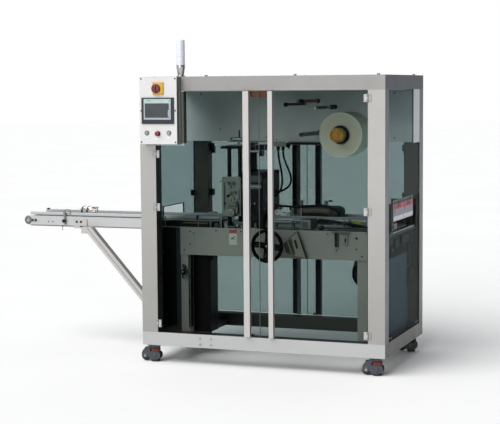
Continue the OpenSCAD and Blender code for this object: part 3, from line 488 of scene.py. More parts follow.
OWN = {"corner_posts": "steel_v", "control_box": "box_dark", "frame_fasteners": "screw_dim",
       "bed_end_cover": "end_cover",
       "rear_left_door_fittings": "profile", "chute_guard": "chute_paint", "drive_cabinet": "cabinet_black",
       "hinge_bases": "hinge_steel", "base_frame": "steel_low", "right_side_panel": "tinted_side",
       "left_side_panel": "tinted_side", "outfeed_table": "table_grey"}
for part in frame["record"]["subparts"]:
    o = frame["nodes"][part["node"]]
    key = OWN.get(part["node"], SLOT_OF[part["material_slot"]])
    for i in range(len(o.material_slots)):
        o.material_slots[i].material = M[key]

# ---------------------------------------------------------------- floor
bm = bmesh.new()
bmesh.ops.create_circle(bm, cap_ends=True, radius=60, segments=64)
floor_mesh = bpy.data.meshes.new("floor")
bm.to_mesh(floor_mesh)
bm.free()
floor = bpy.data.objects.new("floor", floor_mesh)
scene.collection.objects.link(floor)
fl = Nodes("pale_floor")
floor_mesh.materials.append(fl.set(
    Base_Color=fl.ramp(fl.noise(0.8, detail=2), (0.93, 0.93, 0.93), (0.95, 0.95, 0.95)), Roughness=0.9))
fl.bsdf.inputs["Specular IOR Level"].default_value = 0.1


# ---------------------------------------------------------------- mesh building, in millimetres on the enclosure's grid
def frame_of(axis):
    a = Vector(axis).normalized()
    u = a.cross(Vector((0, 0, 1)) if abs(a.z) < 0.9 else Vector((1, 0, 0))).normalized()
    return a, u, a.cross(u)


def soften(profile, r):
    """The profile with its inner corners rounded by r."""
    out = [profile[0]]
    for p0, p1, p2 in zip(profile, profile[1:], profile[2:]):
        p0, p1, p2 = Vector(p0), Vector(p1), Vector(p2)
        d0, d1 = (p0 - p1).length, (p2 - p1).length
        if min(d0, d1) < 1e-6:
            continue
        k = min(r, d0 * 0.45, d1 * 0.45)
        a, b = p1 + (p0 - p1) * (k / d0), p1 + (p2 - p1) * (k / d1)
        out += [tuple(a), tuple((a + p1 * 2 + b) / 4), tuple(b)]
    return out + [profile[-1]]


def curve_through(points, steps=6):
    """A smooth line through the points."""
    p = [Vector(q) for q in points]
    p = [p[0] * 2 - p[1]] + p + [p[-1] * 2 - p[-2]]
    line = []
    for a, b, c, d in zip(p, p[1:], p[2:], p[3:]):
        for i in range(steps):
            t = i / steps
            line.append(0.5 * (2 * b + (c - a) * t + (2 * a - 5 * b + 4 * c - d) * t * t
                               + (3 * b - a - 3 * c + d) * t ** 3))
    return line + [p[-2]]


CREASE = 0.35                            # edges bent further than this, in radians, are rounded


class Shape:
    """Gathers solids into one piece; each solid has its own material."""

    def __init__(self):
        self.bm, self.mats = bmesh.new(), []

    def index(self, m):
        if m not in self.mats:
            self.mats.append(m)
        return self.mats.index(m)

    def paint(self, verts, m):
        faces = {f for v in verts for f in v.link_faces}
        for f in faces:
            f.material_index = self.index(m)
        return faces

    def round(self, verts, width, seg=2):
        edges = list({e for v in verts for e in v.link_edges if len(e.link_faces) == 2
                      and e.calc_face_angle(0) > CREASE})
        if width > 0:
            bmesh.ops.bevel(self.bm, geom=edges, offset=width / 1000, segments=seg, profile=0.5, affect="EDGES",
                            clamp_overlap=True)

    def box(self, low, high, m, bevel=1.0, turn=None, about=None):
        """A block from its lowest to its highest corner, turned about a point if asked."""
        low, high = Vector(low), Vector(high)
        size = high - low
        verts = bmesh.ops.create_cube(self.bm, size=1)["verts"]
        mid = (low + high) / 2
        place = Matrix.Translation(P(*mid)) @ Matrix.Diagonal((*(size / 1000), 1))
        if turn is not None:
            pivot = Matrix.Translation(P(*(about or mid)))
            place = pivot @ turn.to_4x4() @ pivot.inverted() @ place
        bmesh.ops.transform(self.bm, matrix=place, verts=verts)
        self.paint(verts, m)
        self.round(verts, min(bevel, min(size) * 0.3))
        return self

    def lathe(self, at, axis, profile, m, seg=32, hexed=(), lobes=0, depth=0.0, turn=0.0):
        """A turned shape; profile holds (radius, distance along the axis).

        hexed rings have six flats, and lobes scallop the others."""
        a, u, v = frame_of(axis)
        at = P(*at)
        rings = []
        for k, (r, t) in enumerate(profile):
            if r <= 1e-6:
                rings.append([self.bm.verts.new(at + a * t / 1000)])
                continue
            ring = []
            for i in range(seg):
                w = 2 * math.pi * i / seg + turn
                q = r
                if k in hexed:
                    q = r * math.cos(math.pi / 6) / math.cos((w % (math.pi / 3)) - math.pi / 6)
                elif lobes:
                    q = r - depth * (0.5 - 0.5 * math.cos(lobes * w))
                ring.append(self.bm.verts.new(at + (a * t + (u * math.cos(w) + v * math.sin(w)) * q) / 1000))
            rings.append(ring)
        for k, (r0, r1) in enumerate(zip(rings, rings[1:])):
            mi = self.index(m[min(k, len(m) - 1)] if isinstance(m, list) else m)
            for i in range(seg):
                j = (i + 1) % seg
                quad = [r0[i % len(r0)], r0[j % len(r0)], r1[j % len(r1)], r1[i % len(r1)]]
                face = [q for n, q in enumerate(quad) if q not in quad[:n]]
                if len(face) > 2:
                    self.bm.faces.new(face).material_index = mi
        return self

    def rod(self, a, b, r, m, seg=24, edge=0.6):
        """A bar with rounded ends' rims, from a to b."""
        a, b = Vector(a), Vector(b)
        n = (b - a).length
        return self.lathe(a, b - a, soften([(0, 0), (r, 0), (r, n), (0, n)], min(edge, r * 0.4)), m, seg)

    def tube(self, points, r, m, seg=12, steps=6, flat=1.0):
        """A round bar or hose along a smooth line; r is a number or one for each given point."""
        line = curve_through(points, steps) if steps > 1 else [Vector(p) for p in points]
        count = len(line)
        if isinstance(r, (int, float)):
            radii = [r] * count
        else:
            radii = [r[min(int(i * (len(r) - 1) / (count - 1)), len(r) - 2)] for i in range(count)]
            for i in range(count):
                s = i * (len(r) - 1) / (count - 1)
                k = min(int(s), len(r) - 2)
                radii[i] = r[k] + (r[k + 1] - r[k]) * (s - k)
        rings = []
        normal = None
        for i, p in enumerate(line):
            d = (line[min(i + 1, count - 1)] - line[max(i - 1, 0)]).normalized()
            if normal is None:
                normal = frame_of(d)[1]
            normal = (normal - d * normal.dot(d)).normalized()
            side = d.cross(normal)
            rings.append([self.bm.verts.new(P(*p) + (normal * math.cos(2 * math.pi * k / seg) +
                          side * math.sin(2 * math.pi * k / seg) * flat) * radii[i] / 1000) for k in range(seg)])
        mi = self.index(m)
        for r0, r1 in zip(rings, rings[1:]):
            for i in range(seg):
                j = (i + 1) % seg
                self.bm.faces.new([r0[i], r0[j], r1[j], r1[i]]).material_index = mi
        for ring, tip in ((rings[0], line[0] - (line[1] - line[0]).normalized() * radii[0] * 0.35),
                          (rings[-1], line[-1] + (line[-1] - line[-2]).normalized() * radii[-1] * 0.35)):
            end = self.bm.verts.new(P(*tip))
            for i in range(seg):
                self.bm.faces.new([ring[i], ring[(i + 1) % seg], end]).material_index = mi
        return self

    def plate(self, outline, normal, low, high, m, bevel=0.6):
        """A flat outline raised from low to high along x, y or z.

        The outline holds the two other coordinates in order."""
        axis = "xyz".index(normal)

        def place(p, t):
            q = list(p)
            q.insert(axis, t)
            return P(*q)
        a = [self.bm.verts.new(place(p, low)) for p in outline]
        b = [self.bm.verts.new(place(p, high)) for p in outline]
        self.bm.faces.new(a)
        self.bm.faces.new(b[::-1])
        for i in range(len(a)):
            j = (i + 1) % len(a)
            self.bm.faces.new([a[i], b[i], b[j], a[j]])
        self.paint(a + b, m)
        self.round(a + b, min(bevel, abs(high - low) * 0.3))
        return self

    def sheet(self, rows, m):
        """An open sheet through rows of points."""
        grid = [[self.bm.verts.new(P(*p)) for p in row] for row in rows]
        for r0, r1 in zip(grid, grid[1:]):
            for i in range(len(r0) - 1):
                self.bm.faces.new([r0[i], r0[i + 1], r1[i + 1], r1[i]]).material_index = self.index(m)
        return self

    # fasteners, each seen along -axis
    def hexbolt(self, at, axis, af, m, washer=True, h=None):
        h = h or af * 0.42
        z = 0
        if washer:
            self.lathe(at, axis, soften([(0, -1), (af * 0.85, -1), (af * 0.85, 1.4), (0, 1.4)], 0.3), m, 20)
            z = 1.2
        c = af / 2 / math.cos(math.pi / 6)
        self.lathe(at, axis, [(0, z - 1), (c, z - 1), (c, z + h - 0.6), (c * 0.93, z + h), (0, z + h)], m, 24,
                   hexed=(1, 2))
        return self

    def capscrew(self, at, axis, r, m, h=None, washer=False):
        h = h or r * 1.3
        z = 0
        if washer:
            self.lathe(at, axis, soften([(0, -1), (r * 1.6, -1), (r * 1.6, 1.2), (0, 1.2)], 0.3), m, 20)
            z = 1.2
        d = r * 0.52
        self.lathe(at, axis,
                   [(0, z - 1), (r, z - 1), (r, z + h - 0.5), (r - 0.5, z + h), (d, z + h), (d, z + h * 0.45),
                    (0, z + h * 0.45)],
                   m, 24, hexed=(4, 5))
        return self

    def dome(self, at, axis, r, m, h=None):
        h = h or r * 0.55
        d = r * 0.42
        self.lathe(at, axis,
                   [(0, -0.8), (r, -0.8), (r, 0.25 * h), (r * 0.86, 0.62 * h), (r * 0.6, 0.92 * h), (d, h),
                    (d, h * 0.4), (0, h * 0.4)],
                   m, 24, hexed=(5, 6))
        return self

    def done(self, name, body, slot, *nodes, angle=38, subdivide=0, flat=False):
        bmesh.ops.recalc_face_normals(self.bm, faces=self.bm.faces)
        mesh = bpy.data.meshes.new(name)
        self.bm.to_mesh(mesh)
        self.bm.free()
        for m in self.mats:
            mesh.materials.append(M[m])
        for p in mesh.polygons:
            p.use_smooth = not flat
        mesh.set_sharp_from_angle(angle=math.radians(angle))
        o = bpy.data.objects.new(name, mesh)
        scene.collection.objects.link(o)
        if subdivide:
            s = o.modifiers.new("subdivision", "SUBSURF")
            s.levels = s.render_levels = subdivide
        w = o.modifiers.new("normals", "WEIGHTED_NORMAL")
        w.keep_sharp = True
        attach(o, body)
        if nodes:
            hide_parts(*nodes)
        return o


X, Y, Z = (1, 0, 0), (0, 1, 0), (0, 0, 1)
FRONT, LEFT, BACK, DOWN = (0, -1, 0), (-1, 0, 0), (0, 1, 0), (0, 0, -1)


def around(a, b, r, degrees):
    """Points on a circle about a, b, at angles in degrees."""
    for turn in degrees:
        w = math.radians(turn)
        yield a + r * math.cos(w), b + r * math.sin(w)


# ---------------------------------------------------------------- cables, on the routes of their solids
def bezier(points, t):
    p = [Vector(q) for q in points]
    while len(p) > 1:
        p = [a.lerp(b, t) for a, b in zip(p, p[1:])]
    return p[0]


def cable(name, route, r, body="machine", count=25):
    """A round cable as a curve of one open spline, with its real length."""
    line = [P(*bezier(route, i / (count - 1))) for i in range(count)]
    data = bpy.data.curves.new(name, "CURVE")
    data.dimensions, data.bevel_depth, data.bevel_resolution = "3D", r / 1000, 5
    data.use_fill_caps = True
    spline = data.splines.new("POLY")
    spline.points.add(count - 1)
    for p, q in zip(spline.points, line):
        p.co = (*q, 1)
    spline.use_smooth = True
    data.materials.append(M["cable"])
    o = bpy.data.objects.new(name, data)
    scene.collection.objects.link(o)
    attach(o, body)
    length = sum((b - a).length for a, b in zip(line, line[1:]))
    tuple(line[0])
    return o, length


left_cable, left_length = cable("head_cable_left",
                                [(640, 650, 1245), (640, 650, 1150), (700, 640, 1070), (710, 520, 975),
                                 (650, 520, 975)], 6)
right_cable, right_length = cable("head_cable_right",
                                  [(672, 650, 1245), (672, 650, 1130), (800, 600, 1090), (790, 480, 1000),
                                   (650, 480, 1000)], 6)
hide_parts("cables")
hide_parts("cables")

# ---------------------------------------------------------------- control panel
def control_panel():
    s = Shape()
    for x in (40, 257):
        for z in (1324, 1508, 1694):
            s.dome((x, -65, z), FRONT, 4.8, "dark_metal", 2.6)
    for x in (75, 216):                                   # bezel rings of the two push buttons
        s.lathe((x, -65, 1378), FRONT,
                soften([(9.2, 1), (9.2, 4.5), (11.5, 5.5), (14.6, 3.2), (14.8, 0), (9.2, 0)], 0.8), "steel_dim", 36)
    s.lathe((146, -65, 1374), FRONT, soften([(9.5, 1), (9.5, 4), (14.5, 4.4), (15.4, 3), (15.6, 0), (9.5, 0)], 0.8),
            "dark_metal", 36)
    for x, z, w in ((75, 1351, 26), (146, 1343, 40), (216, 1351, 26)):
        s.box((x - w / 2, -65.8, z - 4), (x + w / 2, -64.5, z + 4), "label_white", 0.3)
    s.box((267.2, -30, 1308), (268.6, -20, 1620), "label_pale", 0.5)
    s.done("panel_trim", "machine", "bright_metal")

    # the operator screen: picture area, title strip and key column
    s = Shape()
    s.box((57.5, -70.7, 1455.5), (231.5, -69.9, 1577.5), "screen_pale", 0.2)
    s.box((58.5, -71.0, 1552), (230.5, -70.3, 1576.5), "screen_title", 0.2)
    s.box((66, -71.4, 1467), (219, -70.6, 1551), "screen_dark", 0.2)
    s.box((213, -71.8, 1474), (223, -71.0, 1512), "screen_pale", 0.2)
    s.box((74, -71.4, 1562), (106, -70.8, 1571), "screen_teal", 0.2)
    s.box((218, -71.4, 1562), (226, -70.8, 1569), "screen_grey", 0.2)
    s.done("screen_face", "machine", "screen_bezel")

    s = Shape()                                           # square plate of the main switch, with its raised ring
    s.box((117, -76, 1601), (184, -65, 1674), "yellow", 7)
    s.lathe((143, -70, 1637), FRONT, soften([(6.2, 2), (6.2, 7.6), (30, 8), (32.4, 7.2), (33, 5), (6.2, 4)], 1),
            "yellow", 48)
    for a in (45, 135, 225, 315):
        s.dome((150.5 + 39 * math.cos(math.radians(a)), -76, 1637 + 43 * math.sin(math.radians(a))), FRONT, 2.2,
               "steel_dim", 1.2)
    s.done("switch_face", "machine", "yellow_plastic", "switch_plate")

    s = Shape()
    s.lathe((143, -78.2, 1637), FRONT, soften([(0, 0), (27, 0), (27, 10), (24.5, 14), (0, 14.5)], 1.6), "red_dark",
            48, lobes=12, depth=0.9)
    s.lathe((143, -78.2, 1637), FRONT, soften([(0, 13), (19, 13), (18.5, 15.5), (0, 15.8)], 1), "red", 40)
    s.box((137.5, -101, 1613), (148.5, -90, 1661), "red", 3)
    s.box((139.0, -101.3, 1626), (147.0, -100.6, 1648), "red_dark", 0.3)
    s.box((141.6, -101.5, 1651), (144.4, -100.6, 1659), "screen_grey", 0.3)
    s.rod((143, -74, 1637), (143, -53, 1637), 6, "steel")
    s.done("switch_handle", "switch_knob", "red_plastic", "switch_knob")

    s = Shape()
    s.lathe((146, -65, 1374), FRONT,
            soften([(0, -14), (8, -14), (8, 11), (11, 12), (14.6, 13.5), (15, 16.5), (13, 20), (8, 21.7), (0, 22)],
                   1.2), "red", 40)
    s.lathe((146, -65, 1374), FRONT, [(5.5, 21.4), (6.2, 22.3), (7.2, 21.6)], "red_dark", 40)
    s.done("stop_mushroom", "e_stop_button", "red_plastic", "e_stop_button")
    for name, x, cap in (("start_button", 75, "button_green"), ("reset_button", 216, "button_white")):
        s = Shape()
        s.rod((x, -66, 1378), (x, -51, 1378), 8, "dark_plastic")
        s.lathe((x, -65, 1378), FRONT, soften([(0, 1), (8.0, 1), (8.0, 9), (6.2, 9.6), (5.6, 8.8), (0, 8.8)], 0.6),
                cap, 36)
        s.done(name + "_cap", name, "dark_plastic", name)

    s = Shape()                                           # tower light: clear tube over the lamp tiers
    zb = 1774
    s.lathe((*TOWER, zb), Z,
            soften([(0, 0), (26, 0), (26, 3), (24.8, 4), (24.8, 136), (25.6, 138), (25.6, 141), (22, 146), (0, 146)],
                   1.2), "lens", 48)
    for z in (3, 48, 92):
        s.lathe((*TOWER, zb + z), Z, soften([(24, 0), (25.3, 0.3), (25.3, 1.7), (24, 2)], 0.4), "lamp_grey", 48)
    for x in (-15.5, 15.5):
        s.box((250 + x - 6, 34, zb + 127), (250 + x + 6, 46, zb + 142), "screen_grey", 1.5)
    s.done("tower_tiers", "machine", "lens_plastic", "tower_light_lens")
    s = Shape()
    for x, m in ((-16, "lamp_grey"), (15, "lamp_grey")):
        s.box((250 + x - 5, 30, zb + 2), (250 + x + 6, 50, zb + 130), m, 2)
    s.rod((250, 52, zb - 2), (250, 52, zb + 132), 3, "lamp_grey", 16)
    s.done("tower_lamps", "machine", "lens_plastic")
    s = Shape()
    s.lathe((*TOWER, LID_Z), Z,
            soften([(0, 0), (26, 0), (26, 4), (18.5, 5), (18.5, 10), (23.5, 44), (25, 52), (25, 68), (0, 68)], 1.5),
            "bright", 48)
    for bx, by in around(*TOWER, 26, (30, 150, 270)):
        s.dome((bx, by, LID_Z + 5), Z, 2.4, "steel", 1.6)
    s.done("tower_foot", "machine", "bright_metal", "tower_light_base")


# ---------------------------------------------------------------- enclosure fittings
def enclosure():
    s = Shape()                                           # screws in the hinge leaves on the posts
    doors = {}
    for name, left, front, zs in (("left_door", 1, 1, (1252, 937, 240)), ("right_door", 0, 1, (1576, 937, 233)),
                                  ("rear_left_door", 1, 0, (1240, 760, 240)),
                                  ("rear_right_door", 0, 0, (1240, 760, 240))):
        d = Shape()
        x = 101.5 if left else FW - 101.5
        inward = 1 if left else -1
        y = -3 if front else FD + 3
        out = FRONT if front else BACK
        for z in zs:
            for dz in (-14, 14):
                s.dome((x - inward * 14.5, y, z + dz), out, 3.2, "steel", 1.8)
                d.dome((x + inward * 14.5, y, z + dz), out, 3.2, "steel", 1.8)
            for dz in (-22, 22):
                s.lathe((x, -6 if front else FD + 6, z + dz), (0, 0, 1 if dz > 0 else -1),
                        [(0, -1), (3.9, -1), (3.9, 0.8), (2.6, 2.2), (0, 2.5)], "bright", 20)
        doors[name] = d
    for name, d in doors.items():
        rear = "rear" in name
        left = "left" in name
        hx = 660 if left else (804 if rear else 812)
        hw = 36 if left or rear else 28
        top, y0, y1 = (1618 if not rear else 1302), (-25 if not rear else FD), (0 if not rear else FD + 25)
        for z0, z1 in ((190 - 1.5, 190 + 1), (top - 1, top + 1.5)):    # end caps of the handle profile
            d.box((hx + 0.6, y0 + 0.6, z0), (hx + hw - 0.6, y1 - 0.6, z1), "dark_plastic", 0.8)
        lipx = hx + 36 if left else hx
        d.tube([(lipx - (1 if left else -1) * 0.6, (y0 + y1) / 2, 194),
                (lipx - (1 if left else -1) * 0.6, (y0 + y1) / 2, top - 4)], 1.1, "rubber", 8, 1)
        stop = 700 if left else 800                       # rubber stop at the foot of the door
        yy = 8 if not rear else FD - 20
        d.box((stop - 9, yy, 191), (stop + 9, yy + 12, 205), "tread", 2)
        if rear:                                          # screw rail behind the glass
            d.box((hx - (8 if left else -1), FD - 7.4, 194), (hx + (21 if left else 36), FD - 6, top - 4), "black",
                  0.5)
        seam, pane = (748.8 if left else 750.2), (0 if not rear else FD - 6)
        d.box((seam, pane - 0.4, 191), (seam + 1.0, pane + 6.4, top - 1), "gasket", 0.3)
        d.done(name + "_trim", name, "bright_metal")
    s.done("hinge_screws", "machine", "bright_metal")

    s = Shape()                                           # interlock block under the top rail, behind the door heads
    s.box((697, 7.5, 1584), (812, 30, 1616), "interlock", 2)
    s.box((690, 6.8, 1614), (818, 40, 1623), "interlock", 0.8)
    for x in (712, 798):
        s.capscrew((x, 7.5, 1600), FRONT, 3.2, "steel_dim", 2.4)
    s.done("door_interlock", "machine", "red_plastic")

    s = Shape()                                           # clamps that hold the side panels to the rear posts
    for z in (1262, 966):
        for x, sgn in ((100.5, 1), (FW - 100.5, -1)):
            s.box((min(x, x + sgn * 22), 850, z - 21), (max(x, x + sgn * 22), 882, z + 21), "black", 3)
            for dz in (-11, 11):
                s.capscrew((x + sgn * 22, 866, z + dz), (sgn, 0, 0), 4, "steel_dim", 3)
    for x in (6, FW - 20):
        s.box((x, 745, 948), (x + 14, 789, 986), "black", 3)
    s.done("panel_clamps", "machine", "black_paint")

    s = Shape()                                           # rubber strip round the inlet
    for a, b in (((304, 764), (304, 913)), ((304, 913), (622, 913)), ((622, 764), (622, 913))):
        s.box((3.5, a[0] - 2, a[1] - 2), (14.5, b[0] + 2, b[1] + 2), "gasket", 1)
    s.done("opening_edging", "machine", "dark_plastic")

    s = Shape()                                           # flank of the electrical cabinet beside the rear right post
    # the right flank takes the lighter steel, which is painted light; the left flank below keeps the brushed steel
    s.box((FW - 6.4, 668, 1303), (FW - 2.5, 812, 1623), "flank_steel_painted_light", 0.8)
    s.box((FW - 12, 668, 1300), (FW - 2.5, 812, 1304), "steel_v", 0.8)
    s.box((2.5, 668, 1303), (6.4, 812, 1623), "steel_v", 0.8)
    for z in (1340, 1590):
        s.dome((FW - 2.6, 690, z), X, 3.4, "screw_dim", 1.8)
        s.dome((2.6, 690, z), LEFT, 3.4, "screw_dim", 1.8)
    s.box((104, -1.5, 1302), (284, 4, 1308.5), "screen_pale", 0.8)
    s.done("cabinet_flanks", "machine", "brushed_panel")

    s = Shape()                                           # lid screws on the top
    for x in (60, 500, 1000, 1440):
        for y in (100, FD - 100):
            s.dome((x, y, LID_Z), Z, 5, "bright", 2.6)
    s.done("top_screws", "machine", "bright_metal")

    # electrical cabinet: doors, quarter-turn locks, strip screws
    s = Shape()
    for x0, x1 in ((108, 745), (755, FW - 108)):
        s.box((x0, FD - 5.0, 1312), (x1, FD - 3.2, 1612), "cabinet", 0.8)
        for z in (1340, 1585):
            s.lathe(((x1 - 28) if x0 < 400 else (x0 + 28), FD - 3.4, z), BACK,
                    soften([(0, -1), (14, -1), (14, 3), (11, 5), (6, 5), (5, 3), (0, 3)], 0.8), "dark_plastic", 32)
        for z in (1360, 1560):
            s.rod(((x0 + 4) if x0 < 400 else (x1 - 4), FD - 1.5, z - 18),
                  ((x0 + 4) if x0 < 400 else (x1 - 4), FD - 1.5, z + 18), 4, "steel", 16)
    s.done("cabinet_doors", "machine", "cabinet_paint")
    s = Shape()
    for x in (600, 681):
        s.dome((x, 636, 1289), FRONT, 3, "steel", 2)
    for x, z in ((560, 1330), (628, 1316), (250, 1380), (1380, 1330), (1380, 1600), (120, 1600), (1001, 1330)):
        s.dome((x, 660, z), FRONT, 4.5, "dark_metal", 2.5)
    s.done("cabinet_screws", "machine", "machined_steel")
    s = Shape()                                           # gland strip, cable duct and the clamp beside it
    s.box((585, 633.5, 1277), (696, 637, 1304), "brass_pale", 1)
    s.box((704, 634, 1284), (1092, 659.5, 1303), "black", 2)
    s.box((718, 632, 1300), (1092, 640, 1306), "steel_dim", 1)
    s.box((300, 652, 1300), (584, 660, 1306), "steel_dim", 1)
    s.lathe((715, 634, 1283), FRONT, soften([(0, 0), (8, 0), (8, 6), (14, 8), (14, 22), (9, 25), (0, 25)], 1.2),
            "black", 36, lobes=6, depth=2)
    s.box((706, 622, 1262), (724, 634, 1300), "black", 3)
    for x in (640, 672):
        s.lathe((x, 650, 1277), DOWN, soften([(0, 0), (13, 0), (13, 9), (10, 11), (10, 24), (6.2, 32)], 1), "black",
                28, hexed=(1, 2))
    s.done("cable_duct", "machine", "black_paint")


# ---------------------------------------------------------------- infeed conveyor
def conveyor():
    bz = BELT_AXIS_Z
    s = Shape()
    for y, out in ((380, FRONT), (610, BACK)):
        for x in (NOSE_X, DRIVE_X):                           # bearing housings of the rollers
            s.lathe((x, y, bz), out, soften([(8.4, 0), (8.4, 3), (12, 4), (17, 3.4), (18, 0)], 0.8), "steel_dim", 32)
            s.lathe((x, y, bz), out, soften([(18, -1), (24.5, -1), (25.5, 0.8), (18, 1.6)], 0.4), "machined_dark", 40)
            for bx, screw_z in around(x, bz, 14, (90, 210, 330)):
                s.capscrew((bx, y + (-2.6 if out == FRONT else 2.6), screw_z), out, 2.0, "bright", 1.6)
        s.box((-950, min(y, y + out[1] * 3), bz - 8), (-914, max(y, y + out[1] * 3), bz + 8), "dark_metal", 1)
        s.hexbolt((-932, y + out[1] * 3, bz), out, 9, "bright", False, 4)
        s.rod((-914, y + out[1] * 2, bz), (-896, y + out[1] * 2, bz), 2.4, "bright", 12)
        for x in (-830, -800, -600, -100, 130, 250):
            s.capscrew((x, y, bz - (6 if x in (-830, -800) else 0)), out, 3.6, "dark_metal", 2.6)
    s.done("conveyor_bolts", "machine", "machined_steel")

    # slim lips along the side plates and the slide bed under the belt
    s = Shape()
    for y in (380, 604):
        s.box((-985, y - 0.4, 826.4), (358, y + 6.4, 828.4), "conveyor", 0.5)
        s.box((-975, y - 0.4, 768.8), (358, y + 6.4, 771), "dark_metal", 0.5)
    s.box((-958, 378, 763), (-4, 384, 770), "cover_brown", 0.8)
    s.done("conveyor_lips", "machine", "conveyor_aluminium")

    # guard plate between the wall and the seal head, on the near side
    s = Shape()
    s.box((16, 236, 793), (352, 239, 838), "black", 0.8)
    s.box((170, 235.2, 820), (330, 236.6, 829), "cover_brown", 0.5)
    s.box((16, 234.6, 836), (352, 240, 841), "steel_dim", 0.8)
    s.box((346, 234.6, 800), (354, 240, 841), "steel_dim", 0.8)
    for x in (52, 268):
        s.box((x, 232.5, 800), (x + 5, 236, 862), "steel_dim", 0.8)
    s.done("near_guard_plate", "machine", "black_paint")

    s = Shape()                                           # dark cover over the side plate inside the enclosure
    s.box((18, 376.5, 773), (358, 380.4, 824), "black", 1.2)
    s.box((60, 375.6, 800), (300, 377, 812), "cover_brown", 0.6)
    s.box((18, 600, 829), (372, 604, 834), "steel_dim", 0.8)
    s.box((352, 372, 770), (364, 392, 848), "machined_dark", 1)
    s.done("conveyor_inner_cover", "machine", "black_paint")

    s = Shape()                                           # clamp of the near guide rail with its knob and index pin
    x = -710
    s.box((x - 7, 371, 776), (x + 7, 380, 860), "steel_dim", 1.6)
    s.lathe((x, 371, 800), FRONT, soften([(0, 0), (7, 0), (7, 5), (11, 6), (12, 16), (9, 19), (0, 19)], 1.4), "black",
            36, lobes=6, depth=1.6)
    s.box((x - 5, 366, 838), (x + 5, 389, 848), "steel_dim", 1.2)
    s.rod((x - 17, 373, 764), (x - 17, 373, 738), 3.0, "bright", 16)
    s.rod((x - 17, 373, 770), (x - 17, 373, 762), 5.2, "dark_metal", 16)
    s.done("rail_clamp", "machine", "black_paint")
    s = Shape()
    for x in (-114, 206):
        s.box((x - 6.6, 372, 800), (x + 6.6, 380, 858), "black", 1.4)
        s.lathe((x, 372, 812), FRONT, soften([(0, 0), (6, 0), (6, 4), (10, 5), (11, 13), (8, 16), (0, 16)], 1.2),
                "black", 36, lobes=6, depth=1.4)
    s.done("rail_clamps_inner", "machine", "black_paint")

    s = Shape()                                           # wire loop over the clamp
    s.tube([(-722, 391, 848), (-722, 391, 860), (-716, 391, 868), (-700, 391, 872), (-684, 391, 868),
            (-678, 391, 860), (-678, 391, 848)], 2.0, "steel_dim", 10, 6)
    s.box((-728, 387, 838), (-716, 395, 853), "steel_dim", 1.2)
    s.box((-684, 387, 838), (-672, 395, 853), "steel_dim", 1.2)
    s.done("rail_wire_loop", "machine", "bright_metal")

    s = Shape()                                           # two bent fingers and the carton sensor on the far rail
    for x in (-701, -664):
        s.tube([(x, 599, 842), (x - 1.5, 599, 856), (x + 2.5, 599, 869), (x + 13.5, 599, 876), (x + 28, 599, 879)],
               [2.6, 2.6, 2.4, 2.0, 1.2], "dark_metal", 10, 6)
        s.box((x - 6, 594, 838), (x + 6, 604, 852), "dark_metal", 1)
    s.done("rail_fingers", "far_guide_rail", "machined_steel")
    s = Shape()
    s.box((-625, 588, 840), (-589, 606, 860), "arm_white", 1.6)
    s.box((-628, 587, 863), (-586, 607, 874), "red", 2.0)
    s.rod((-607, 597, 856), (-607, 597, 866), 5, "dark_metal", 20)
    s.box((-621, 586.8, 849), (-613, 589, 857), "red", 0.6)
    s.box((-602, 586.8, 843), (-593, 589, 854), "red", 0.6)
    s.done("rail_sensor", "far_guide_rail", "red_plastic")
    s = Shape()                                           # turned lip, end roll and knobs on the far rail
    s.tube([(-963, 599, 850), (359, 599, 850)], 3.2, "guide", 12, 1)
    s.tube([(-963, 599, 836), (359, 599, 836)], 2.2, "guide", 12, 1)
    s.lathe((-948, 599, 850), Z, soften([(0, 0), (6, 0), (6, 3), (11, 4), (11, 9), (0, 10)], 1.2), "black", 36,
            lobes=6, depth=1.6)
    for x in (-710, 200):
        s.lathe((x, 690, 843), BACK, soften([(0, 0), (10, 0), (11, 3), (11, 12), (0, 13)], 1.2), "black", 32, lobes=8,
                depth=1.0)
    s.done("far_rail_trim", "far_guide_rail", "guide_metal")
    s = Shape()
    s.tube([(-963, 391, 850), (359, 391, 850)], 3.2, "guide", 12, 1)
    s.tube([(-963, 391, 836), (359, 391, 836)], 2.2, "guide", 12, 1)
    s.done("near_rail_trim", "machine", "guide_metal")
    s = Shape()
    for x in (-710, 200):                                 # clamping screws of the rail rods
        s.lathe((x, 624, 858), Z, soften([(0, 0), (4, 0), (4, 2), (6.5, 3), (6.5, 7), (0, 8)], 1), "steel_dim", 32,
                lobes=6, depth=0.8)
    s.done("rod_clamp_knobs", "machine", "black_paint")

    s = Shape()                                           # belt with rounded edges and a woven top
    y0, y1, r = 393.2, 596.8, 24.1
    path = []
    for i in range(25):
        a = math.pi / 2 + math.pi * i / 24
        path.append((NOSE_X + r * math.cos(a), bz + r * math.sin(a)))
    for i in range(25):
        a = -math.pi / 2 + math.pi * i / 24
        path.append((DRIVE_X + r * math.cos(a), bz + r * math.sin(a)))
    inner = []
    for x, z in path:
        axis_x = NOSE_X if x < 0 else DRIVE_X
        inner.append((axis_x + (x - axis_x) * 22.0 / r, bz + (z - bz) * 22.0 / r))
    grid = []
    for (x, z), (xi, zi) in zip(path, inner):
        k = 0.25
        grid.append([(xi, y0, zi), (x + (xi - x) * k, y0, z + (zi - z) * k), (x, y0 + 0.5, z), (x, (y0 + y1) / 2, z),
                     (x, y1 - 0.5, z), (x + (xi - x) * k, y1, z + (zi - z) * k), (xi, y1, zi),
                     (xi, (y0 + y1) / 2, zi), (xi, y0, zi)])
    grid.append(grid[0])
    verts = [[s.bm.verts.new(P(*p)) for p in row[:-1]] for row in grid[:-1]]
    n, w = len(verts), 8
    for i in range(n):
        for j in range(w):
            a, b, c, d = verts[i][j], verts[i][(j + 1) % w], verts[(i + 1) % n][(j + 1) % w], verts[(i + 1) % n][j]
            s.bm.faces.new([a, b, c, d]).material_index = s.index("belt")
    s.done("belt_loop", "machine", "belt_rubber", "conveyor_belt")

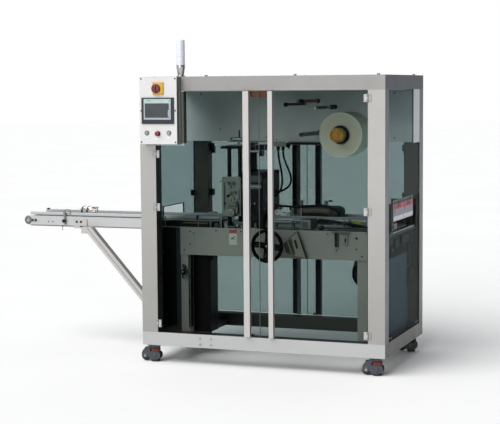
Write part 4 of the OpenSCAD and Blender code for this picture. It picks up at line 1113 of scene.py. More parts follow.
    s = Shape()                                           # bolts of the strut brackets
    for x in (-625, -595):
        s.hexbolt((x, 374, 796), FRONT, 9, "dark_metal", True, 4)
    s.hexbolt((-561, 374.5, 752), FRONT, 10, "dark_metal", True, 4)
    for y in (326, 398):
        s.hexbolt((-6, y, 172), LEFT, 10, "dark_metal", True, 4)
    s.box((-604, 371.5, 764), (-516, 374.6, 770), "dark_metal", 0.6)
    s.done("strut_bolts", "machine", "bright_metal")


# ---------------------------------------------------------------- machine bed
def bed():
    s = Shape()
    for x, z in ((191, 662), (1154, 690), (1308, 660), (400, 785), (560, 785), (900, 785), (1100, 785), (232, 700),
                 (232, 775), (1275, 700)):
        s.capscrew((x, 200, z), FRONT, 4.2, "dark_metal", 3)
    for x, z in ((255, 764), (640, 764), (1275, 764)):
        s.lathe((x, 200, z), FRONT, soften([(4.2, -3), (5.4, -3), (5.4, 0.8), (4.2, 0.8)], 0.3), "bright", 24)
    for x in (196, 1308):
        for z in (190, 420):
            s.capscrew((x, 208, z), FRONT, 4.2, "steel", 3)
    s.done("bed_bolts", "machine", "machined_steel")

    s = Shape()                                           # latch on the left leg: plate, pull knob and keeper
    s.box((174, 203.5, 498), (214, 208.6, 556), "steel", 1.2)
    s.lathe((190, 204, 530), FRONT,
            soften([(0, 0), (8, 0), (8, 8), (17, 10), (22, 14), (21, 20), (8, 24), (0, 24)], 1.2), "black", 72,
            lobes=6, depth=8)
    s.lathe((190, 180, 530), FRONT, soften([(0, 0), (5, 0), (5, 6), (0, 6.5)], 1), "bright", 28)
    s.tube([(200, 200, 548), (192, 186, 552), (182, 184, 544), (172, 190, 530), (170, 196, 514)], 3.4, "steel_dim",
           12, 6)
    s.tube([(204, 200, 520), (206, 188, 504), (198, 184, 494), (190, 190, 490)], 3.0, "steel_dim", 12, 6)
    s.box((208, 196, 512), (222, 205, 552), "dark_metal", 2)
    s.box((178, 197, 506), (202, 204, 566), "dark_metal", 3)
    s.tube([(178, 194, 566), (186, 189, 573), (197, 190, 569), (202, 194, 558)], 3.2, "black", 12, 5)
    s.tube([(179, 194, 508), (184, 189, 494), (193, 189, 490), (202, 194, 500)], 3.2, "black", 12, 5)
    s.box((226, 208, 190), (228.5, 245, 634), "black", 0.6)
    s.box((217, 198.6, 190), (226, 204.4, 632), "black", 0.8)
    s.box((22, 214, 192), (150, 217, 797), "black", 0.8)
    s.box((136, 211, 192), (165.6, 214.5, 797), "flank_blue", 1)
    s.box((16, 206, 797), (166, 217, 801.5), "steel_dim", 0.8)
    s.dome((48, 214, 640), FRONT, 4.5, "screw_dim", 2.4)
    s.done("leg_latch", "machine", "machined_steel")

    s = Shape()                                           # plain instruction plate on the bed
    s.box((484, 198.6, 703), (533, 200.2, 770), "label_bed", 0.3)
    s.box((484, 198.6, 774), (533, 200.2, 794), "label_bed_red", 0.3)
    s.tube([(496, 198.2, 744), (503, 198.2, 741), (510, 198.2, 747), (520, 198.2, 752)], 2.2, "label_dark", 8, 4)
    s.tube([(499, 198.2, 734), (507, 198.2, 741), (516, 198.2, 738), (523, 198.2, 734)], 1.6, "label_dark", 8, 4)
    s.done("bed_plate_label", "machine", "panel_paint")

    s = Shape()                                           # bracket with a slotted block under the outfeed
    s.box((1146, 186, 712), (1161, 200.5, 800), "dark_metal", 1.2)
    s.box((1164, 188, 712), (1168, 200.5, 796), "steel_dim", 1)
    s.box((1196, 192, 720), (1224, 200.5, 782), "bed", 1.5)
    s.box((1205, 190.8, 732), (1215, 193, 770), "dark_metal", 0.8)
    for z in (738, 764):
        s.capscrew((1210, 191, z), FRONT, 4.5, "steel_dim", 3)
    s.box((1130, 176, 794), (1240, 204, 799), "steel_dim", 1)
    s.rod((1275, 199, 764), (1275, 203, 764), 7, "black", 24)
    s.done("outfeed_bracket", "machine", "machined_steel")

    s = Shape()                                           # belt pulleys behind the right leg
    for y, r in ((404, 80), (430, 46)):
        s.lathe((1272, y, 529), FRONT,
                soften([(0, -10), (r - 4, -10), (r, -12), (r, -9), (r - 2.5, -8), (r - 2.5, 8), (r, 9), (r, 12),
                        (r - 5, 12), (r - 12, 6), (26, 5), (20, 13), (9, 13), (9, 9), (0, 9)], 1), "black", 56)
    for bx, bolt_z in around(1272, 529, 48, range(0, 360, 60)):
        s.lathe((bx, 392, bolt_z), FRONT, soften([(0, 6), (9, 6), (9, 7.5), (0, 7.6)], 0.4), "dark_metal", 20)
    s.rod((1272, 386, 529), (1272, 600, 529), 12, "steel")
    s.box((1234, 470, 470), (1312, 560, 600), "cabinet_dark", 3)
    s.box((1240, 560, 596), (1306, 640, 640), "steel_dim", 2)
    s.done("belt_pulleys", "machine", "black_paint")
    s = Shape()
    s.tube([(1348, 404, 545), (1330, 404, 700)], 5, "rubber", 8, 1, flat=2.0)
    s.tube([(1196, 404, 545), (1244, 404, 702)], 5, "rubber", 8, 1, flat=2.0)
    s.done("drive_belt", "machine", "belt_rubber")

    s = Shape()                                           # drive cabinet: door skin, lock and cable entries
    s.box((203, 297.6, 156), (317, 300.4, 624), "cabinet_black", 1.2)
    s.box((319.6, 303, 156), (320.6, 417, 624), "black", 0.6)
    s.lathe((320, 320, 604), X, soften([(0, -1), (9, -1), (9, 4), (14, 6), (14, 14), (0, 15)], 1), "black", 28)
    for z in (190, 590):
        s.rod((207, 296.5, z - 16), (207, 296.5, z + 16), 3.4, "steel", 14)
    s.box((196, 330, 600), (324, 344, 610), "dark_metal", 1)
    for x in (225, 258, 292):
        s.lathe((x, 385, 630), Z, soften([(0, 0), (11, 0), (11, 7), (8, 8), (8, 16), (5, 18), (0, 18)], 0.8),
                "dark_plastic", 28, hexed=(1, 2))
    s.done("drive_cabinet_door", "machine", "black_paint")
    s = Shape()                                           # end cover: folded edges and screws
    for y in (210, 651):
        s.box((1453, y, 188), (1459.5, y + 3.4, 641), "end_cover", 0.8)
    s.box((1452, 210, 636), (1460, 654, 641), "end_cover", 0.8)
    for y in (228, 636):
        for z in (206, 420, 622):
            s.dome((1459, y, z), X, 4, "bright", 2.2)
    s.done("end_cover_trim", "machine", "bed_paint")
    s = Shape()
    for y, z in ((470, 742), (560, 712)):
        s.box((1344, y, z), (1372, y + 60, z + 30), "black", 2)
        s.capscrew((1372, y + 16, z + 15), X, 4, "bright", 3)
    s.box((1341, 215, 700), (1347, 640, 780), "machined_dark", 1.2)
    s.box((1436, 206, 644), (1461, 652, 786), "bed_end_dark", 2)
    s.box((1461, 206, 726), (1464, 652, 796), "black", 1)
    s.box((1461, 330, 700), (1474, 420, 748), "black", 3)
    s.box((1461, 470, 712), (1478, 640, 760), "black", 3)
    s.box((1461, 210, 644), (1463, 648, 650), "steel_dim", 0.6)
    s.capscrew((1461, 300, 690), X, 10, "bright", 6)
    s.capscrew((1461, 560, 690), X, 7, "steel_dim", 5)
    s.box((1452, 664, 560), (1470, 700, 780), "black", 3)
    s.box((1466, 668, 700), (1484, 700, 786), "black", 4)
    s.box((1450, 672, 470), (1476, 756, 540), "black", 3)
    s.box((1452, 664, 430), (1470, 690, 480), "black", 3)
    s.box((1446, 655, 190), (1450, 708, 786), "rear_strip", 1)
    for y in (240, 430, 620):
        s.capscrew((1347, y, 716), X, 5, "bright", 4)
    s.done("bed_end_plate", "machine", "black_paint")


# ---------------------------------------------------------------- handwheel
def handwheel():
    s = Shape()
    cx, cy, cz = 753, 120, 712
    s.lathe((cx, cy, cz), FRONT,
            [(90 + 11 * math.cos(a), 11 * math.sin(a)) for a in [math.pi * 2 * i / 20 for i in range(21)]], "wheel",
            72)
    s.lathe((cx, cy, cz), FRONT,
            soften([(0, -24), (17, -24), (19, -10), (24, -6), (24, 10), (20, 14), (13, 15), (12, 10), (0, 10)], 1.5),
            "wheel", 40)
    for a in (-6, 84, 174, 264):
        w = math.radians(a)
        c, d = math.cos(w), math.sin(w)
        for off, w0, w1 in ((-11.5, 8.0, 6.5), (11.5, 8.0, 6.5)):
            ax, az = cx - off * d, cz + off * c
            s.tube([(ax + 14 * c, cy + 2, az + 14 * d), (ax + 40 * c, cy + 4, az + 40 * d),
                    (ax + 64 * c, cy + 1, az + 64 * d), (ax + 86 * c, cy, az + 86 * d)], [w0, w1, w1, w0], "wheel",
                   16, 5)
        s.tube([(cx + 14 * c, cy + 5, cz + 14 * d), (cx + 50 * c, cy + 6, cz + 50 * d),
                (cx + 86 * c, cy + 3, cz + 86 * d)], [7, 4, 5], "wheel", 12, 4)
    s.capscrew((cx, cy - 10, cz), FRONT, 6, "bright", 4)
    s.rod((cx, cy + 20, cz), (cx, 260, cz), 10, "steel")
    s.lathe((cx, 190, cz), BACK, soften([(10.2, -9), (16, -9), (16, -1), (10.2, -1)], 0.8), "steel", 32)
    s.done("wheel_rim", "handwheel", "black_paint", "handwheel")
    s = Shape()                                           # bearing flange on the bed
    s.lathe((cx, 200, cz), FRONT,
            soften([(10.3, 19), (10.3, 20.5), (20, 20.5), (26.6, 16), (26.6, 5), (38, 4), (38, -0.5), (26, -0.5)], 1),
            "steel", 48)
    for bx, bolt_z in around(cx, cz, 32, (45, 135, 225, 315)):
        s.capscrew((bx, 196, bolt_z), FRONT, 2.6, "dark_metal", 2.2)
    s.done("wheel_flange", "machine", "machined_steel")


# ---------------------------------------------------------------- sealing head
def head():
    s = Shape()
    for x in (425, 494):                                  # collars and rod ends
        s.lathe((x, 365, 1280), Z, soften([(0, -2), (12.5, -2), (12.5, 6), (0, 8)], 1), "steel", 32)
        s.lathe((x, 365, 790), Z, soften([(12.7, 0), (23, 0), (23, 16), (20, 20), (12.7, 20)], 1.2), "dark_metal", 36)
    for x in (560, 632):
        s.capscrew((x, 400, 1288), Z, 5, "steel_dim", 5)
    s.box((600, 340, 1262), (664, 392, 1300), "black", 3)
    s.box((622, 345, 1226), (648, 372, 1264), "black", 2)
    s.box((566, 344, 1288), (606, 380, 1312), "black", 2)
    s.rod((560, 352, 1256), (626, 352, 1256), 7, "bright", 18)
    s.box((372, 350, 1268), (392, 382, 1286), "black", 2)
    s.rod((455, 350, 1330), (512, 350, 1330), 11, "bright", 28)      # air regulator over the cross-bar
    s.rod((448, 350, 1330), (458, 350, 1330), 6, "steel_dim", 20)
    s.box((484, 344, 1288), (500, 360, 1322), "steel_dim", 2)
    s.rod((496, 352, 1330), (496, 352, 1384), 4.5, "black", 18)
    s.rod((438, 356, 1330), (448, 356, 1330), 8, "black", 20)
    s.done("head_collars", "machine", "machined_steel")

    s = Shape()                                           # cylinder over the portal, with its ports
    s.lathe((534, 490, 1128), Z,
            soften([(0, 0), (28, 0), (28, 12), (22, 13), (22, 108), (28, 109), (28, 128), (0, 128)], 1.2), "black",
            40)
    for z in (1146, 1242):
        s.rod((534, 470, z), (534, 452, z), 6, "steel_dim", 18)
        s.lathe((534, 454, z), FRONT, soften([(0, 0), (8.5, 0), (8.5, 7), (5, 8), (5, 15), (0, 15)], 0.8),
                "dark_plastic", 24, hexed=(1, 2))
    s.done("head_cylinder", "machine", "black_paint")

    s = Shape()                                           # portal skin: covers, ribs, terminal box and rails
    s.box((514.5, 328, 1118), (651.5, 640, 1131), "black", 2)
    s.box((520, 326.5, 1070), (646, 330.4, 1112), "machined_dark", 1.2)
    s.box((520, 326.5, 1030), (646, 330.4, 1058), "steel_dim", 1.2)
    s.box((524, 326, 890), (640, 330.4, 1022), "black", 1.5)
    for z in (906, 1006):
        for x in (532, 632):
            s.capscrew((x, 326, z), FRONT, 3.4, "steel", 2.6)
    s.rod((526, 322, 1044), (644, 322, 1044), 5, "steel", 18)
    s.box((650, 470, 960), (662, 560, 1020), "black", 2)
    for y, z in ((520, 975), (480, 1000)):
        s.lathe((650, y, z), X, soften([(5.2, 0), (10, 0), (10, 10), (8, 12), (5.2, 15)], 0.8), "dark_plastic", 28)
    s.box((648, 340, 900), (656, 460, 1090), "machined_dark", 1.5)
    for y in (352, 448):
        for z in (912, 1078):
            s.capscrew((656, y, z), X, 3.6, "steel", 3)
    s.box((514, 360, 1000), (518, 600, 1040), "steel_dim", 1)
    s.rod((560, 327, 960), (560, 316, 960), 7, "bright", 20)
    s.rod((602, 327, 942), (602, 318, 942), 5, "steel", 18)
    s.box((560, 300, 930), (590, 327, 950), "machined_dark", 1.5)
    s.done("portal_covers", "machine", "black_paint")

    s = Shape()                                           # moving plate with its toggle train: gears, links, rollers
    s.plate([(388, 863), (510, 863), (510, 1096), (504, 1102), (394, 1102), (388, 1096)], "y", 330, 340,
            "olive_plate", 1.4)
    s.plate([(398, 930), (511, 930), (511, 1060), (398, 1060)], "y", 339, 386, "olive_dark", 2)
    s.box((401, 327.5, 900), (408, 330.4, 1068), "dark_metal", 0.8)      # slots cut in the plate
    s.box((497, 327.5, 960), (503, 330.4, 1030), "dark_metal", 0.8)
    for r, z, x, y, m in ((11, 1062, 436, 18, "steel_dim"), (11, 1062, 466, 16, "steel_dim"),
                          (8, 1040, 448, 14, "brass_dull"), (12, 1004, 448, 16, "brass_dull"),
                          (10, 1006, 476, 18, "steel_dim"), (10, 984, 432, 22, "dark_metal")):
        s.lathe((x, 330, z), FRONT,
                soften([(0, 0), (r, 0), (r, y * 0.5), (r * 0.8, y * 0.55), (r * 0.55, y), (0, y)], 0.8), m, 36)
    s.lathe((452, 330, 962), FRONT, soften([(0, 0), (24, 0), (24, 14), (20, 16), (9, 16), (8, 24), (0, 24)], 1),
            "brass_dull", 60, lobes=30, depth=1.8)
    s.lathe((484, 330, 950), FRONT, soften([(0, 0), (17, 0), (17, 10), (14, 12), (7, 12), (6, 20), (0, 20)], 1),
            "brass_pale", 60, lobes=24, depth=1.6)
    s.lathe((462, 330, 928), FRONT, soften([(0, 0), (30, 0), (30, 10), (27, 12), (12, 12), (10, 18), (0, 18)], 1),
            "brass_dull", 72, lobes=34, depth=1.8)
    s.box((436, 306, 916), (488, 330.5, 938), "brass_pale", 2.5)
    for dx in (-20, -10, 0, 10, 20):
        s.rod((462 + dx, 305, 919), (462 + dx, 305, 935), 2.4, "dark_metal", 12)
    s.box((424, 314, 896), (436, 330.5, 984), "steel_dim", 2)
    s.lathe((452, 330, 886), FRONT,
            soften([(0, 0), (25, 0), (25.8, 3), (25.8, 24), (23, 28), (14, 28), (12, 31), (6, 31), (5, 28), (0, 28)],
                   1.2), "brass_pale", 56)
    s.lathe((452, 300, 886), FRONT, soften([(0, -4), (13, -4), (14, 0), (14, 4), (0, 5)], 0.8), "brass_dull", 40)
    s.box((484, 316, 868), (500, 330.4, 930), "olive_plate", 2)
    s.tube([(482, 320, 866), (496, 314, 885), (501, 310, 912), (498, 308, 940), (486, 310, 958)], 4.2, "olive_dark",
           12, 6)
    s.rod((410, 326, 940), (410, 312, 940), 6, "black", 18)
    s.box((402, 322, 912), (409, 330.4, 1040), "olive_dark", 1.5)
    for x, z in ((397, 1092), (501, 1092), (397, 872), (420, 1066), (492, 1058)):
        s.capscrew((x, 330, z), FRONT, 3.4, "steel_dim", 2.6)
    s.tube([(386, 334, 1072), (380, 332, 1074), (374, 330, 1072)], 3, "steel_dim", 10, 3)
    s.done("head_toggle", "seal_head", "machined_steel", "seal_head")

    s = Shape()                                           # base plate edge, stops and lower jaws
    for x in (392, 648):
        for y in (222, 628):
            s.capscrew((x, y, 790), Z, 5, "steel", 5)
    s.box((396, 262, 790), (412, 300, 846), "machined_dark", 2)
    s.box((424, 270, 790), (446, 296, 820), "steel", 2)
    s.rod((404, 281, 846), (404, 281, 862), 5, "bright", 18)
    s.box((452, 250, 790), (500, 300, 808), "black", 2)
    s.box((508, 262, 790), (560, 306, 834), "machined_dark", 2)
    s.rod((520, 262, 814), (520, 240, 814), 7, "bright", 22)
    s.rod((545, 262, 806), (545, 246, 806), 5, "steel", 18)
    s.box((575, 255, 790), (640, 310, 800), "steel", 1.5)
    s.rod((590, 280, 800), (590, 280, 842), 6, "bright", 20)
    s.rod((622, 280, 800), (622, 280, 830), 6, "bright", 20)
    s.done("head_base_blocks", "machine", "machined_steel")

# ---------------------------------------------------------------- overhead press unit
def overhead():
    r, zc, x0, x1, y0, y1 = 33, 888, 841, 1067, 424, 560
    # housing: rounded shell with end caps
    s = Shape()
    outline = [(x0 + r * math.cos(math.pi / 2 + math.pi * i / 16),
                zc + r * math.sin(math.pi / 2 + math.pi * i / 16)) for i in range(17)]
    outline += [(x1 + r * math.cos(math.pi * i / 16 - math.pi / 2),
                 zc + r * math.sin(math.pi * i / 16 - math.pi / 2)) for i in range(17)]
    s.plate(outline, "y", y0, y0 + 5, "black", 1.2)
    s.plate(outline, "y", y1 - 5, y1, "black", 1.2)
    inset = [(x, zc + (z - zc) * 0.94) for x, z in outline]
    s.plate(inset, "y", y0 + 3, y1 - 3, "dark_plastic", 0.4)
    for x in (x0, 1040, x1 + 10):
        s.capscrew((x, y0, zc - 12), FRONT, 5, "dark_metal", 3.4)
    for x in (870, 940, 1010):
        s.rod((x, y0 + 2, zc - 25), (x, y1 - 2, zc - 25), 7, "steel_dim", 20)
    s.box((751, y1 - 8, zc - 17.5), (x0, y1, zc + 11.5), "machined_dark", 1.5)
    for x in HEIGHT_POSTS:                                # clamps on the height posts
        for a, b in ((-20, -15.6), (15.6, 20)):
            s.box((x + a, y1 - 2, zc - 18), (x + b, y1 + 39, zc + 12), "machined_dark", 1.2)
        s.lathe((x, 580, zc - 18), Z, soften([(12.2, 0), (19, 0), (19, 30), (12.2, 30), (12.2, 0)], 1),
                "machined_dark", 32)
    s.done("press_housing", "overhead_unit", "black_paint", "overhead_unit")

    s = Shape()                                           # ribbed motor end
    s.lathe((1066, 492, zc), Y,
            soften([(0, -74), (26, -74), (33.5, -66), (33.5, -20), (31, -18), (31, 18), (33.5, 20), (33.5, 62),
                    (28, 70), (0, 70)], 3), "motor_black", 56)
    for y in range(-60, -18, 6):
        s.lathe((1066, 492 + y, zc), Y, soften([(33, -1), (35, -1), (35, 1), (33, 1)], 0.4), "motor_black", 48)
    s.done("press_motor", "overhead_unit", "black_paint")

    s = Shape()                                           # curved guard along the near side, with a black edge bar
    top = [(826 + 232 * i / 14, 903 + 14 * math.sin(math.pi * (0.12 + 0.70 * i / 14))) for i in range(15)]
    poly = top + [(x, max(868, z - 30)) for x, z in reversed(top)]
    s.plate(poly, "y", 419.5, 424.5, "olive_cover", 1.2)
    s.sheet([[(x, 421, z - 0.6) for x, z in top], [(x, 546, z - 0.6) for x, z in top]], "olive_cover")
    # painted highlight: a lighter olive bead under the guard's top edge
    s.tube([(x, 419.4, z - 12) for x, z in top[2:-2]], 2.0, "guard_painted_highlight", 8, 2)
    bar = [(690, 918), (740, 924), (800, 922), (860, 921), (920, 927), (980, 932), (1030, 928), (1066, 914),
           (1096, 894), (1102, 874)]
    s.tube([(x, 417, z) for x, z in bar], [8, 7, 7, 8, 7, 7, 8, 9, 9, 8], "black", 14, 5)
    for x in (850, 960):
        s.capscrew((x, 419.5, 882), FRONT, 3.4, "dark_metal", 2.6)
    s.done("press_guard", "overhead_unit", "black_paint")

    s = Shape()                                           # clamp blocks and fittings at the left end
    s.box((664, 412, 898), (704, 436, 928), "black", 5)
    s.box((716, 410, 904), (744, 430, 930), "black", 4)
    s.box((792, 410, 900), (822, 432, 926), "black", 4)
    s.box((806, 414, 868), (838, 428, 904), "black", 4)
    s.lathe((684, 424, 926), Z, soften([(0, -2), (9, -2), (9, 5), (6, 7), (6, 12), (0, 13)], 1), "black", 28,
            hexed=(1, 2))
    s.lathe((728, 420, 928), Z, soften([(0, -2), (7, -2), (7, 6), (0, 7)], 1), "black", 28, hexed=(1, 2))
    s.tube([(678, 420, 900), (674, 418, 886), (673, 416, 868), (673, 416, 846)], 7, "black", 12, 5)
    s.box((664, 412, 836), (692, 436, 868), "machined_dark", 3)
    s.done("press_clamps", "overhead_unit", "black_paint")

    s = Shape()                                           # pale cast arm, with its guide rod
    arm = [(712, 870), (702, 882), (704, 896), (718, 904), (736, 900), (746, 888), (758, 881), (774, 885), (790, 883),
           (800, 872),
           (794, 861), (776, 866), (760, 863), (742, 868), (730, 877), (724, 869)]
    s.plate(arm, "y", 398, 409.5, "arm_white", 2.4)
    foot = [(664, 868), (667, 879), (676, 883), (690, 878), (698, 867), (690, 860), (668, 860)]
    s.plate(foot, "y", 398, 408, "arm_white", 2.4)
    s.lathe((718, 398, 890), FRONT, soften([(0, -1), (5.5, -1), (5.5, 4), (0, 5)], 0.8), "steel_dim", 24)
    s.lathe((786, 398, 874), FRONT, soften([(0, -1), (4.5, -1), (4.5, 3), (0, 4)], 0.8), "steel_dim", 24)
    s.rod((690, 411, 872), (876, 411, 872), 3.2, "steel_dim", 18)
    for x in (730, 812, 866):
        s.box((x - 6, 409, 862), (x + 6, 424.6, 914), "machined_dark", 1.4)
    for x in (900, 940, 980, 1020):
        s.lathe((x, 434, 862), Y, soften([(0, 0), (6, 0), (6, 116), (0, 116)], 1), "rubber", 32)
    s.done("press_rods", "overhead_unit", "bright_metal")

    s = Shape()                                           # caps and collars on the height posts
    for x in HEIGHT_POSTS:
        s.lathe((x, 580, 944), Z, soften([(0, -1), (12.5, -1), (12.5, 4), (10, 8), (0, 9)], 1.2), "dark_metal", 32)
        s.lathe((x, 580, 768), Z, soften([(12.3, 0), (24, 0), (24, 12), (20, 16), (12.3, 16)], 1), "dark_metal", 32)
    s.done("post_caps", "machine", "machined_steel")


# ---------------------------------------------------------------- outfeed side
def outfeed():
    s = Shape()                                           # driven belts and slide strips in the table
    for y0, y1, m in ((398, 428, "rubber"), (564, 594, "rubber")):
        s.box((660, y0, 819.2), (1334, y1, 822.4), m, 1)
    for x in range(700, 1330, 70):
        s.rod((x, 436, 820.4), (x, 556, 820.4), 3.2, "bright", 12)
    for x in (690, 900, 1120, 1280):
        for y, out in ((388, FRONT), (602, BACK)):
            s.dome((x, y, 858), out, 4, "bright", 2.2)
    s.done("outfeed_strips", "machine", "bed_paint")
    s = Shape()
    for y in (386.6, 603.4):
        s.tube([(676, y, 866), (1295, y, 866)], 2.6, "guide", 12, 1)
        s.tube([(676, y, 850), (1295, y, 850)], 2.0, "guide", 12, 1)
    s.rod((668, 384, 842), (872, 384, 842), 4, "bright", 16)
    s.rod((668, 384, 826), (872, 384, 826), 3, "steel_dim", 16)
    s.done("outfeed_lips", "machine", "guide_metal")

    # drive block, clamps and the dark bar beside the outfeed lane
    s = Shape()
    s.box((912, 262, 804), (976, 384, 858), "steel_dim", 3)
    s.box((926, 259, 816), (960, 263, 846), "machined_dark", 1.2)
    for x in (921, 967):
        for z in (812, 850):
            s.capscrew((x, 262, z), FRONT, 3, "bright", 2.4)
    s.rod((990, 376, 848), (1008, 376, 848), 9, "black", 24)
    s.tube([(1000, 376, 848), (1090, 368, 842), (1180, 356, 832), (1262, 346, 822)], [9, 8, 8, 7], "black", 14, 4)
    s.box((1140, 350, 822), (1168, 370, 846), "dark_metal", 2)
    s.box((1150, 356, 802), (1158, 364, 824), "dark_metal", 1)
    s.box((1176, 366, 806), (1192, 378, 856), "machined_dark", 1.5)
    s.box((1050, 330, 802), (1320, 346, 812), "black", 1.5)
    s.box((1186, 380, 820), (1254, 386, 847), "strip_yellow", 1)
    s.box((1170, 380, 806), (1310, 386, 819), "black", 1)
    s.box((880, 374, 826), (916, 386, 846), "machined_dark", 1.5)
    s.lathe((1044, 262, 812), FRONT, soften([(0, -40), (9, -40), (9, 4), (14, 6), (14, 18), (0, 20)], 1.2), "black",
            32, lobes=6, depth=2)
    s.box((1006, 250, 802), (1090, 330, 806), "steel_dim", 1)
    for x, h in ((700, 40), (738, 30), (846, 46), (1020, 22)):
        s.box((x, 300, 802), (x + 12, 326, 802 + h), "machined_dark", 1.5)
        s.rod((x + 6, 301, 802 + h - 8), (x + 6, 292, 802 + h - 8), 5, "steel_dim", 18)
    s.box((690, 290, 801.5), (880, 340, 806), "steel_dim", 1)
    s.rod((694, 306, 838), (870, 306, 838), 4, "bright", 18)
    s.done("outfeed_drive_block", "machine", "machined_steel")

    s = Shape()                                           # dark tunnel at the outlet, with the belt end in it
    s.box((1346, 236, 801), (1476, 241, 872), "black", 1)
    s.box((1346, 704, 801), (1476, 709, 960), "black", 1)
    s.box((1346, 392, 801), (1470, 598, 819.5), "rubber", 8)
    s.box((1346, 241, 800.6), (1476, 392, 806), "black", 1)
    s.box((1346, 598, 800.6), (1476, 704, 806), "black", 1)
    for y in (300, 660):
        s.rod((1440, y, 806), (1440, y, 838), 7, "dark_metal", 20)
    s.box((1448, 252, 806), (1470, 380, 846), "machined_dark", 3)
    s.rod((1471, 300, 826), (1476, 300, 826), 8, "steel_dim", 20)
    s.box((1343, 150, 800.2), (1480, 731, 801.4), "black", 0.3)
    s.box((1480, 150, 797), (1486.6, 731, 801.4), "exit_edge", 0.3)
    s.box((1440, 206, 802), (1484, 232, 868), "black", 3)
    s.box((1446, 214, 868), (1480, 236, 968), "dark_metal", 4)
    s.box((1462, 206, 880), (1482, 214, 930), "black", 2)
    s.tube([(1400, 234, 872), (1412, 226, 900), (1420, 222, 930), (1430, 224, 950), (1446, 232, 956)], 3.2, "black",
           10, 6)
    s.box((1436, 212, 880), (1468, 240, 940), "machined_dark", 4)
    s.lathe((1452, 212, 918), FRONT, soften([(0, -1), (8, -1), (8, 6), (0, 7)], 1), "dark_metal", 28)
    s.done("outlet_tunnel", "machine", "dark_sheet")

    # outlet guard: two plain plates with a pale band and coloured heads
    s = Shape()
    x = FW - 16.9
    for y0, y1 in ((246, 466), (474, 699)):
        s.box((x - 0.4, y0, 866), (x + 1.2, y1, 972), "label_grey", 0.3)
        s.box((x + 0.9, y0 + 1, 930), (x + 1.8, y1 - 1, 971), "label_red", 0.2)
        s.box((x + 0.9, y0 + 1, 868), (x + 1.8, y1 - 1, 890), "label_white", 0.2)
        s.box((x + 0.9, y0 + 18, 906), (x + 1.8, y0 + 26, 948), "label_dark", 0.2)
        mid = (y0 + y1) / 2
        s.plate([(mid - 54, 938), (mid + 40, 936), (mid + 54, 950), (mid + 8, 966), (mid - 50, 958)], "x", x + 1.5,
                x + 2.2, "label_maroon", 0.1)
    for y in (258, 688):
        s.dome((x + 1.2, y, 930), X, 4, "bright", 2)
    for y in (285, 655):
        s.rod((FW - 15, y - 14, 975), (FW - 15, y + 14, 975), 5, "steel_dim", 16)
    s.done("outlet_plates", "machine", "panel_paint")

    s = Shape()                                           # side panel screws on each side
    for y in (86, 802):
        for z in (1598, 1010, 600):
            if not (y == 802 and z == 1598):
                s.dome((FW - 6, y, z), X, 3.6, "bright", 2)
                s.dome((6, y, z), LEFT, 3.6, "bright", 2)
    for y in (280, 480):
        s.dome((FW - 6, y, 1598), X, 3.6, "bright", 2)
        s.dome((6, y, 1598), LEFT, 3.6, "bright", 2)
    for y in (90, 300, 590, 800):
        for z in (214, 736):
            s.dome((5, y, z), LEFT, 4.2, "bright", 2.4)
    s.dome((FW - 6, 110, 205), X, 4.2, "bright", 2.2)
    s.dome((FW - 6, 780, 205), X, 4.2, "bright", 2.2)
    s.done("side_screws", "machine", "bright_metal")


